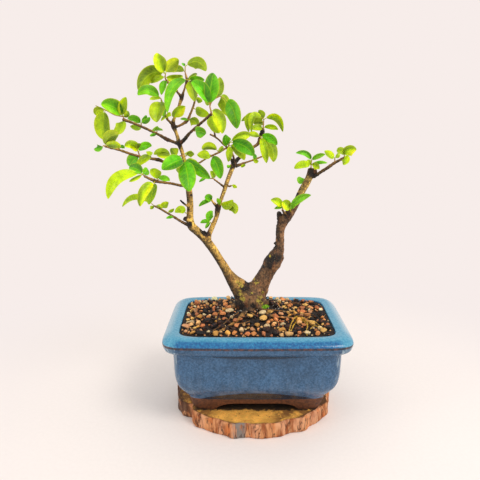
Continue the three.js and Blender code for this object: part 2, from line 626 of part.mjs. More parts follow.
// A closed solid through a row of rings of points; a ring of one point ends the solid in a tip
function loft(rings) {
  const points = rings.flat();
  const faces = [];
  const starts = [];
  let count = 0;
  for (const ring of rings) {
    starts.push(count);
    count += ring.length;
  }
  for (let r = 0; r + 1 < rings.length; r++) {
    const sides = Math.max(rings[r].length, rings[r + 1].length);
    const low = (i) => starts[r] + (i % rings[r].length);
    const high = (i) => starts[r + 1] + (i % rings[r + 1].length);
    for (let i = 0; i < sides; i++) {
      if (rings[r].length > 1) faces.push([low(i), low(i + 1), high(i)]);
      if (rings[r + 1].length > 1) faces.push([low(i + 1), high(i + 1), high(i)]);
    }
  }
  const solid = toManifold(points, faces);
  return solid.volume() > 0 ? solid : toManifold(points, faces.map(([a, b, c]) => [a, c, b]));
}

function toManifold(points, faces) {
  return new wasm.Manifold(new wasm.Mesh({
    numProp: 3,
    vertProperties: new Float32Array(points.flatMap((p) => [p.x, p.y, p.z])),
    triVerts: new Uint32Array(faces.flat()),
  }));
}

// A closed solid from one of three's own closed geometries, moved by a matrix
function fromGeometry(geometry, matrix) {
  const position = geometry.getAttribute("position");
  const index = geometry.getIndex();
  const corner = index ? Array.from(index.array) : [...Array(position.count).keys()];
  const known = new Map();
  const points = [];
  const numbers = corner.map((i) => {
    const p = new THREE.Vector3().fromBufferAttribute(position, i);
    const key = [p.x, p.y, p.z].map((v) => Math.round(v * 1e4)).join();
    if (!known.has(key)) {
      known.set(key, points.length);
      points.push(p.applyMatrix4(matrix));
    }
    return known.get(key);
  });
  const faces = [];
  for (let i = 0; i < numbers.length; i += 3) {
    const [a, b, c] = numbers.slice(i, i + 3);
    if (a !== b && b !== c && c !== a) faces.push([a, b, c]);
  }
  return toManifold(points, faces);
}

function join(solids) {
  return solids.reduce((whole, solid) => whole.add(solid));
}

// The largest body of a solid, without the scraps that a cut leaves
function largest(solid) {
  return solid.decompose().sort((a, b) => b.volume() - a.volume())[0];
}

function toMesh(name, solid, look) {
  const mesh = solid.getMesh();
  const geometry = new THREE.BufferGeometry();
  geometry.setAttribute("position", new THREE.BufferAttribute(mesh.vertProperties, 3));
  geometry.setIndex(new THREE.BufferAttribute(mesh.triVerts, 1));
  geometry.computeVertexNormals();
  const piece = new THREE.Mesh(geometry, new THREE.MeshStandardMaterial(look));
  piece.name = name;
  return piece;
}

function direction(centres, i) {
  const before = centres[Math.max(i - 1, 0)];
  const after = centres[Math.min(i + 1, centres.length - 1)];
  return after.clone().sub(before).normalize();
}

// A round tapered tube with low domed ends, through centres with a radius each
function tube(centres, radii, sides) {
  const rings = [];
  let across = null;
  for (let i = 0; i < centres.length; i++) {
    const along = direction(centres, i);
    if (!across) across = new THREE.Vector3(0, 1, 0).cross(along);
    if (across.length() < nearlyParallel) across = new THREE.Vector3(1, 0, 0).cross(along);
    across = across.addScaledVector(along, -across.dot(along)).normalize();
    const up = along.clone().cross(across);
    const ring = [];
    for (let s = 0; s < sides; s++) {
      const angle = (s / sides) * 2 * Math.PI;
      ring.push(centres[i].clone()
        .addScaledVector(across, radii[i] * Math.cos(angle))
        .addScaledVector(up, radii[i] * Math.sin(angle)));
    }
    rings.push(ring);
  }
  const last = centres.length - 1;
  const foot = centres[0].clone().addScaledVector(direction(centres, 0), -radii[0] * endDome);
  const head = centres[last].clone().addScaledVector(direction(centres, last), radii[last] * endDome);
  return loft([[foot], ...rings, [head]]);
}

function limb(rows, sides, grow = 0) {
  const centres = rows.map(place);
  const radii = rows.map(([, , y, radius]) => radius * depthScale(y) + grow);
  return tube(centres, radii, sides);
}

function sidesOf(rows) {
  const thickest = Math.max(...rows.map((row) => row[3]));
  return limbSides.find(([radius]) => thickest > radius)[1];
}

function soilTop(x, y) {
  const across = (x - mound.x) / mound.spreadX;
  const back = (y - mound.y) / mound.spreadY;
  return soilEdge + mound.height * Math.exp(-(across * across + back * back) / 2);
}

function root(rows, grow = 0) {
  const centres = rows.map(([x, y, lift]) => new THREE.Vector3(x, y, soilTop(x, y) + lift));
  const sides = rows[0][3] > rootSides.thickFrom ? rootSides.thick : rootSides.thin;
  return tube(centres, rows.map((row) => row[3] + grow), sides);
}

function trunkAndRoots(grow = 0) {
  const limbs = Object.values(trunkLimbs).map((rows) => limb(rows, sidesOf(rows), grow));
  const spread = Object.values(roots).map((rows) => root(rows, grow));
  return join([...limbs, ...spread]);
}

// The share of a leaf's full width at a share of its length
function leafProfile(share) {
  const t = Math.pow(share, leafForm.widest);
  return Math.pow(4 * t * (1 - t), leafForm.fullness);
}

// A folded, arched blade from a stalk's joint to its tip
function blade(base, [, x, z, y, width, bowX, bowZ, turnDegrees]) {
  const turn = THREE.MathUtils.degToRad(turnDegrees);
  const length = Math.hypot(x - base[0], z - base[1], y - base[2]);
  const lift = (turnDegrees < edgeOn ? -bladeArch : bladeArch) * length;
  const tip = place([x, z, y]);
  const start = place(base).addScaledVector(tip.clone().sub(place(base)).normalize(), -bladeRoot);
  const middle = place([
    (base[0] + x) / 2 + bowX, (base[1] + z) / 2 + bowZ, (base[2] + y) / 2 + lift,
  ]);
  const control = middle.multiplyScalar(2).addScaledVector(start, -0.5).addScaledVector(tip, -0.5);
  const midrib = new THREE.QuadraticBezierCurve3(start, control, tip);
  const { stations } = bladeSizes.find(({ upTo }) => length < upTo);
  const seenShare = Math.max(Math.abs(Math.cos(turn)), leastCosine);
  const half = (0.5 * width * depthScale(y)) / seenShare;
  const rings = stations.map((share) => {
    const centre = midrib.getPoint(share);
    const along = midrib.getTangent(share);
    const sight = centre.clone().sub(eye).normalize();
    const across = along.clone().cross(sight).normalize().applyAxisAngle(along, turn);
    const face = across.clone().cross(along);
    if (turnDegrees < edgeOn ? face.dot(sight) > 0 : face.dot(sight) < 0) face.negate();
    const reach = half * leafProfile(share);
    const edge = (side) => centre.clone()
      .addScaledVector(across, side * reach * Math.cos(bladeFold))
      .addScaledVector(face, reach * Math.sin(bladeFold));
    const rib = (side) => centre.clone().addScaledVector(face, (side * bladeThickness) / 2);
    return [edge(1), rib(1), edge(-1), rib(-1)];
  });
  return loft([[start], ...rings, [tip]]);
}

function shoot({ joints, leaves }) {
  const last = joints.length - 1;
  const rows = joints.map((row, i) => [...row, stalk.radius * (1 - (stalk.taper * i) / last)]);
  return join([limb(rows, stalk.sides), ...leaves.map((leaf) => blade(joints[leaf[0]], leaf))]);
}

function leafyStem({ twigs, shoots }, clearance) {
  const parts = [...twigs.map((rows) => limb(rows, twigSides)), ...shoots.map(shoot)];
  return largest(join(parts).subtract(clearance));
}

// A rounded rectangular ring of the pot at one height, with squarer corners at a higher power
function potRing(z, halfWidth, power = cornerPower) {
  const ring = [];
  const bend = (value) => Math.sign(value) * Math.pow(Math.abs(value), 2 / power);
  for (let i = 0; i < potSides; i++) {
    const angle = ((i + 0.5) / potSides) * 2 * Math.PI;
    const across = bend(Math.cos(angle));
    const deep = bend(Math.sin(angle));
    const halfDepth = halfWidth - depthInset - sideBow * across * across;
    ring.push(new THREE.Vector3(halfWidth * across, halfDepth * deep, z));
  }
  return ring;
}

function centrePoint(z) {
  return [new THREE.Vector3(0, 0, z)];
}

// The low arched passage between the feet, as wide as twice halfGap, running along one axis
function footPassage(halfGap, rise, quarterTurn) {
  const { fullness, length, below } = footGap;
  const shoulder = halfGap - rise * (1 - fullness);
  const outline = new THREE.Shape();
  outline.moveTo(-halfGap, potFoot - below);
  outline.lineTo(halfGap, potFoot - below);
  outline.lineTo(halfGap, potFoot);
  outline.quadraticCurveTo(shoulder, potUnderside, halfGap - rise, potUnderside);
  outline.lineTo(rise - halfGap, potUnderside);
  outline.quadraticCurveTo(-shoulder, potUnderside, -halfGap, potFoot);
  const settings = { depth: length, bevelEnabled: false, curveSegments: 4 };
  const passage = new THREE.ExtrudeGeometry(outline, settings);
  const matrix = new THREE.Matrix4().makeRotationZ(quarterTurn ? Math.PI / 2 : 0)
    .multiply(new THREE.Matrix4().makeRotationX(Math.PI / 2))
    .multiply(new THREE.Matrix4().makeTranslation(0, 0, -length / 2));
  return fromGeometry(passage, matrix);
}

function pot() {
  const rings = [...potOutside, ...potInside].map(([z, halfWidth]) => potRing(z, halfWidth));
  let body = loft([centrePoint(potFoot), ...rings, centrePoint(potFloor)]);
  body = body.subtract(footPassage(footGap.halfWidth, footGap.rise, false));
  body = body.subtract(footPassage(footGap.halfDepth, footGap.rise / 2, true));
  const { radius, x, cutLength, sides } = drainHole;
  for (const side of [-1, 1]) {
    const bore = new THREE.CylinderGeometry(radius, radius, cutLength, sides);
    const matrix = new THREE.Matrix4().makeTranslation(side * x, 0, potFloor)
      .multiply(new THREE.Matrix4().makeRotationX(Math.PI / 2));
    body = body.subtract(fromGeometry(bore, matrix));
  }
  return body;
}

// A drainage screen that lies over one of the pot's holes
function drainScreen(x) {
  const { side, thickness, hole, pitch } = screen;
  const block = (width, height, cx, cy) => fromGeometry(
    new THREE.BoxGeometry(width, width, height),
    new THREE.Matrix4().makeTranslation(cx, cy, potFloor + gap + thickness / 2),
  );
  let plate = block(side, thickness, x, 0);
  for (const column of [-0.5, 0.5]) {
    for (const row of [-0.5, 0.5]) {
      plate = plate.subtract(block(hole, 3 * thickness, x + column * pitch, row * pitch));
    }
  }
  return plate;
}

function soilBed(clearance) {
  const bottom = potFloor + gap + screen.thickness + gap;
  const wall = potInside.filter(([z]) => z > bottom && z < soilEdge).reverse();
  const rings = [potRing(bottom, soilFoot), ...wall.map(([z, w]) => potRing(z, w - gap))];
  const draw = draws(gravelRelief.seed);
  const surface = [];
  for (let r = gravelRelief.rings; r > 0; r--) {
    const share = r / gravelRelief.rings;
    const inner = r < gravelRelief.rings;
    surface.push(potRing(0, soilRim, inner ? gravelRelief.power : cornerPower).map((p) => {
      const [x, y] = [p.x * share, p.y * share];
      const relief = inner ? (draw() * 2 - 1) * gravelRelief.height : 0;
      return new THREE.Vector3(x, y, soilTop(x, y) + relief);
    }));
  }
  const bed = loft([centrePoint(bottom), ...rings, ...surface, centrePoint(soilTop(0, 0))]);
  return largest(bed.subtract(clearance));
}

// How far the slice's bark stands out from its oval outline at an angle
function barkEdge(angle, z) {
  const waves = barkWaves.map(({ height, count, start, lean }) => (
    height * Math.sin(count * angle + start + lean * z)
  ));
  const lumps = barkLumps.map(({ height, at, reach }) => (
    height * Math.exp(-Math.pow((angle - at) / reach, 2))
  ));
  return [...waves, ...lumps].reduce((total, value) => total + value);
}

function sliceRing(z, inset) {
  const ring = [];
  for (let i = 0; i < slice.sides; i++) {
    const angle = ((i + 0.5) / slice.sides) * 2 * Math.PI - Math.PI;
    const out = barkEdge(angle, z) - inset;
    ring.push(new THREE.Vector3(
      slice.x + (slice.halfWidth + out) * Math.cos(angle),
      slice.y + (slice.halfDepth + out) * Math.sin(angle),
      z,
    ));
  }
  return ring;
}

function woodSlice() {
  const middle = (z) => [new THREE.Vector3(slice.x, slice.y, z)];
  const rings = sliceEdges.map(([z, inset]) => sliceRing(z, inset));
  return loft([middle(0), ...rings, middle(sliceTop)]);
}

const wood = trunkAndRoots();
const clearOfWood = trunkAndRoots(gap);
const group = new THREE.Group();
group.add(toMesh("wood_slice", woodSlice(), looks.slice));
group.add(toMesh("pot", pot(), looks.glaze));
group.add(toMesh("drain_screen_left", drainScreen(-drainHole.x), looks.screen));
group.add(toMesh("drain_screen_right", drainScreen(drainHole.x), looks.screen));
group.add(toMesh("soil", soilBed(clearOfWood), looks.soil));
group.add(toMesh("trunk_and_roots", wood, looks.bark));
for (const [name, stem] of Object.entries(leafyStems)) {
  group.add(toMesh(name, leafyStem(stem, clearOfWood), looks.leaf));
}

export default group;
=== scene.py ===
"""Looks for a Chinese privet bonsai in a glazed pot that stands on a slice of wood.

The tables and the shape functions work in millimetres, and every mesh is scaled to metres when it
is made. +X is right, +Y is away from the viewer and +Z is up. The origin is on the pot's centre
line, at the underside of the wood slice.
"""
import math
import random

import bpy
from mathutils import Matrix, Vector, kdtree, noise


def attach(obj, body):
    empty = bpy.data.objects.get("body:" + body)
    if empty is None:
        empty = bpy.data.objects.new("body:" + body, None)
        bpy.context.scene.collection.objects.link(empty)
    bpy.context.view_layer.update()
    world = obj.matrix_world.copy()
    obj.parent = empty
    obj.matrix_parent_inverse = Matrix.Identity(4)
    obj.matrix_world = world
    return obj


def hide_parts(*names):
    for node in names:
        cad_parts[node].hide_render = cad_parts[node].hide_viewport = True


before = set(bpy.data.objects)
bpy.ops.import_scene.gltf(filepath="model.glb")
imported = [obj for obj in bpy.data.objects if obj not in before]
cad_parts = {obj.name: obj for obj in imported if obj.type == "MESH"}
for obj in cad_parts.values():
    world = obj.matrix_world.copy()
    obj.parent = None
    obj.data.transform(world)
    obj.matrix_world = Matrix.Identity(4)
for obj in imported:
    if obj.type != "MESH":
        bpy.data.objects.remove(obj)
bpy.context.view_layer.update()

MM = 0.001

# Driving sizes, the same as the solids'
EYE = Vector((-14.7, -417, 245))
PITCH_DOWN = 11.9
LENS = 36.075
SENSOR = 36
SLICE_TOP = 13.7
SLICE = {"x": -2.4, "y": -1.6, "half_width": 69, "half_depth": 58.8}
POT_FOOT = 14
POT_UNDERSIDE = 21
POT_FLOOR = 27
DEPTH_INSET = 19.3
CORNER_POWER = 10
SIDE_BOW = 1.2
FOOT_GAP = {"half_width": 36, "half_depth": 18, "rise": 20, "fullness": 0.8}
DRAIN_HOLE = {"radius": 6, "x": 26}
SOIL_EDGE = 84.5
SOIL_RIM = 66.1
SOIL_FOOT = 56.2
SOIL_BOTTOM = 28.4
MOUND = {"x": -5, "y": 14, "height": 8, "spread_x": 28, "spread_y": 22}
BLADE_FOLD = 14
BLADE_ARCH = 0.12
EDGE_ON = 90
LEAST_COSINE = 0.35

# The pot's outer face from the feet up to the rim, then its inner face down to the floor: height,
# half width
POT_OUTSIDE = [
    (POT_FOOT, 56.4), (POT_UNDERSIDE, 58.8), (26, 60.2), (29.5, 62.4), (33, 65), (39.5, 68.8),
    (49.3, 70.9), (69.3, 71.8), (71.2, 73.6), (74.5, 77.8), (78.5, 79.3),
    (82, 79.3), (85.5, 75), (86.5, 71.3),
]
POT_INSIDE = [(85.5, 66.7), (80, 65.8), (49.3, 64.9), (38.8, 63.3), (31, 60.5), (POT_FLOOR, 55)]

# The slice's bark: height, number of waves, start and lean of each; then height, place and reach
BARK_WAVES = [(0.9, 13, 0.6, 0), (0.7, 21, 2, 0.1), (1.4, 2, 2.27, 0), (1.1, 3, 1.17, 0)]
BARK_LUMPS = [(2.8, -2.95, 0.14), (2.8, 2.95, 0.14), (-2.6, -2.62, 0.07)]

# Wood, seen from the front, in millimetres. Each row is x, z, depth y and radius. A point further
# back is moved out along the line of sight, so that the tree looks the same from the front.
TRUNK_LIMBS = {
    "base": [(-6, 74, 14, 8.5), (-6, 84, 14, 11), (-6, 92, 14, 12.5), (-5.8, 100, 14, 13.8),
        (-5.6, 106, 14, 13.2), (-5, 111, 14, 11.5), (-5, 114.5, 14, 8.5)],
    "left": [(-7, 96, 14, 10.5), (-10, 106, 14, 10.5), (-15, 113, 14, 8.5), (-21, 120, 13.5, 6),
        (-25.5, 126.5, 13, 4.4), (-28.5, 132, 12.5, 4), (-33.4, 140, 11.5, 3.7),
        (-39.6, 150, 10, 3.8), (-46.5, 159, 8.5, 3.7), (-53, 165.5, 7, 3.7), (-57.5, 170, 6, 3.8),
        (-58.6, 177, 5, 3.1), (-58.2, 188, 3.5, 2.9), (-58.8, 200, 2, 2.8), (-60.3, 213, 0.5, 2.4),
        (-62.2, 225, -0.5, 1.9), (-63.8, 233, -0.5, 1.6), (-66.3, 240.5, 0, 2.1),
        (-67.4, 245.5, 1.5, 1.6), (-69, 250.5, 3, 1.5), (-70.5, 254.5, 4, 2.2),
        (-71.2, 258, 4.5, 1.9), (-69.5, 263, 5, 1.2), (-66, 271, 6, 1.2), (-63.2, 278.5, 7.5, 1.9)],
    "right": [(-5, 96, 14, 10), (-1, 106, 14.5, 10), (2.5, 114, 15, 8.6), (6.5, 122, 15.5, 7.4),
        (10.5, 129.5, 16, 7), (14.3, 136.5, 16, 7.8), (17.2, 142, 16, 6.9), (19.4, 147, 15.5, 5.2),
        (20.5, 152, 15, 4.1), (20.7, 160, 14.5, 3.8), (21.2, 168, 14, 4), (23, 174, 13.5, 4.9),
        (26.5, 178, 13, 4.6), (30.5, 183.5, 12.5, 3.6), (34.5, 190.5, 12, 3.2),
        (38.7, 200, 11.5, 3.2), (43.3, 208.5, 11, 3.15), (45.5, 214, 10.5, 3.1),
        (46.4, 219.5, 10, 2.8)],
    "middle": [(-43, 157, 8.5, 3), (-42.2, 162, 9, 2.5), (-38.7, 170, 11, 2.2), (-35.3, 178, 13, 2),
        (-34, 185, 15, 2.6), (-31.7, 192, 16.5, 1.7), (-28.7, 200, 18, 1.8), (-25.3, 210, 20, 1.9),
        (-21.8, 219, 22, 2), (-20.2, 223, 23, 2.5), (-19.2, 225.5, 23.5, 2)],
    "forkStub": [(22, 175, 13, 3.5), (19.8, 179, 13, 2.6), (19.4, 182.2, 13, 1.9)],
    "rightBump": [(18.5, 153, 14, 2), (16.3, 154.6, 13, 1.2)],
    "cutStub": [(36.5, 196, 12, 2), (34.8, 198.2, 11.5, 1)],
    "leftKnob": [(-59.5, 174, 4, 1.6), (-63.6, 176.6, 2, 2.1)],
    "deadTwig": [(-59.5, 186.5, 2, 0.9), (-63.5, 189.5, -1, 1), (-66.8, 192.6, -3, 0.8)],
    "middleStub": [(-20.5, 224, 23, 1.4), (-22.3, 228, 21, 1.3)],
    "spur": [(-34, 185.5, 15, 1.6), (-36, 188.3, 12, 1.5), (-38.2, 190.6, 9, 1)],
    "spurTwig": [(-38.2, 190.6, 9, 0.9), (-40, 194.5, 9.5, 0.7), (-41.2, 198, 9.5, 0.7)],
    "lowStub": [(-42, 162, 9, 1.1), (-44.5, 163.6, 7, 0.9), (-46.6, 165.6, 6, 0.7)],
    "rightKnob": [(47, 216, 10.5, 2.4), (50.3, 218.8, 9.5, 2.4)],
}

# Surface roots: each row is x, y, how far the centre lies above the soil, and radius
ROOTS = {
    "leftLong": [(-8, 4, 1, 2.4), (-16, -14, 0.2, 1.6), (-23.5, -23.5, 0.2, 1.3),
        (-32.5, -33.5, 0, 1), (-38, -39, -0.4, 0.8)],
    "rightLong": [(1, 5, 1, 2.6), (12, -7, 0.4, 1.6), (21, -9, 0.5, 1.4), (32, -8, 0.5, 1.3),
        (39, -8.5, 0.4, 1.2), (47, -5, 0, 1), (54, 0, -0.4, 0.8)],
    "thinFront": [(38, -8.6, 0.4, 1), (34.5, -16, 0.5, 0.9), (31, -25, 0.5, 0.8),
        (28.5, -34, 0, 0.7)],
    "thinRight": [(39, -8.6, 0.4, 1), (43.5, -19, 0.5, 0.9), (43, -32, 0.3, 0.8),
        (40, -37, -0.2, 0.7)],
    "leftFlare": [(-12, 13, 2.5, 5.5), (-19, 11, 0.4, 3.2), (-27, 7, 0, 2), (-36, 1, -0.6, 1.2)],
    "backFlare": [(-5, 20, 2.5, 5), (-3, 29, 0.2, 2.6), (0, 39, -0.6, 1.4)],
    "rightFlare": [(1, 15, 2.5, 5.5), (9, 18, 0.4, 3), (20, 25, -0.5, 1.5)],
    "frontFlare": [(-6, 8, 2.5, 5.5), (-5, 0, 0.3, 3), (-3, -8, -0.6, 1.5)],
}

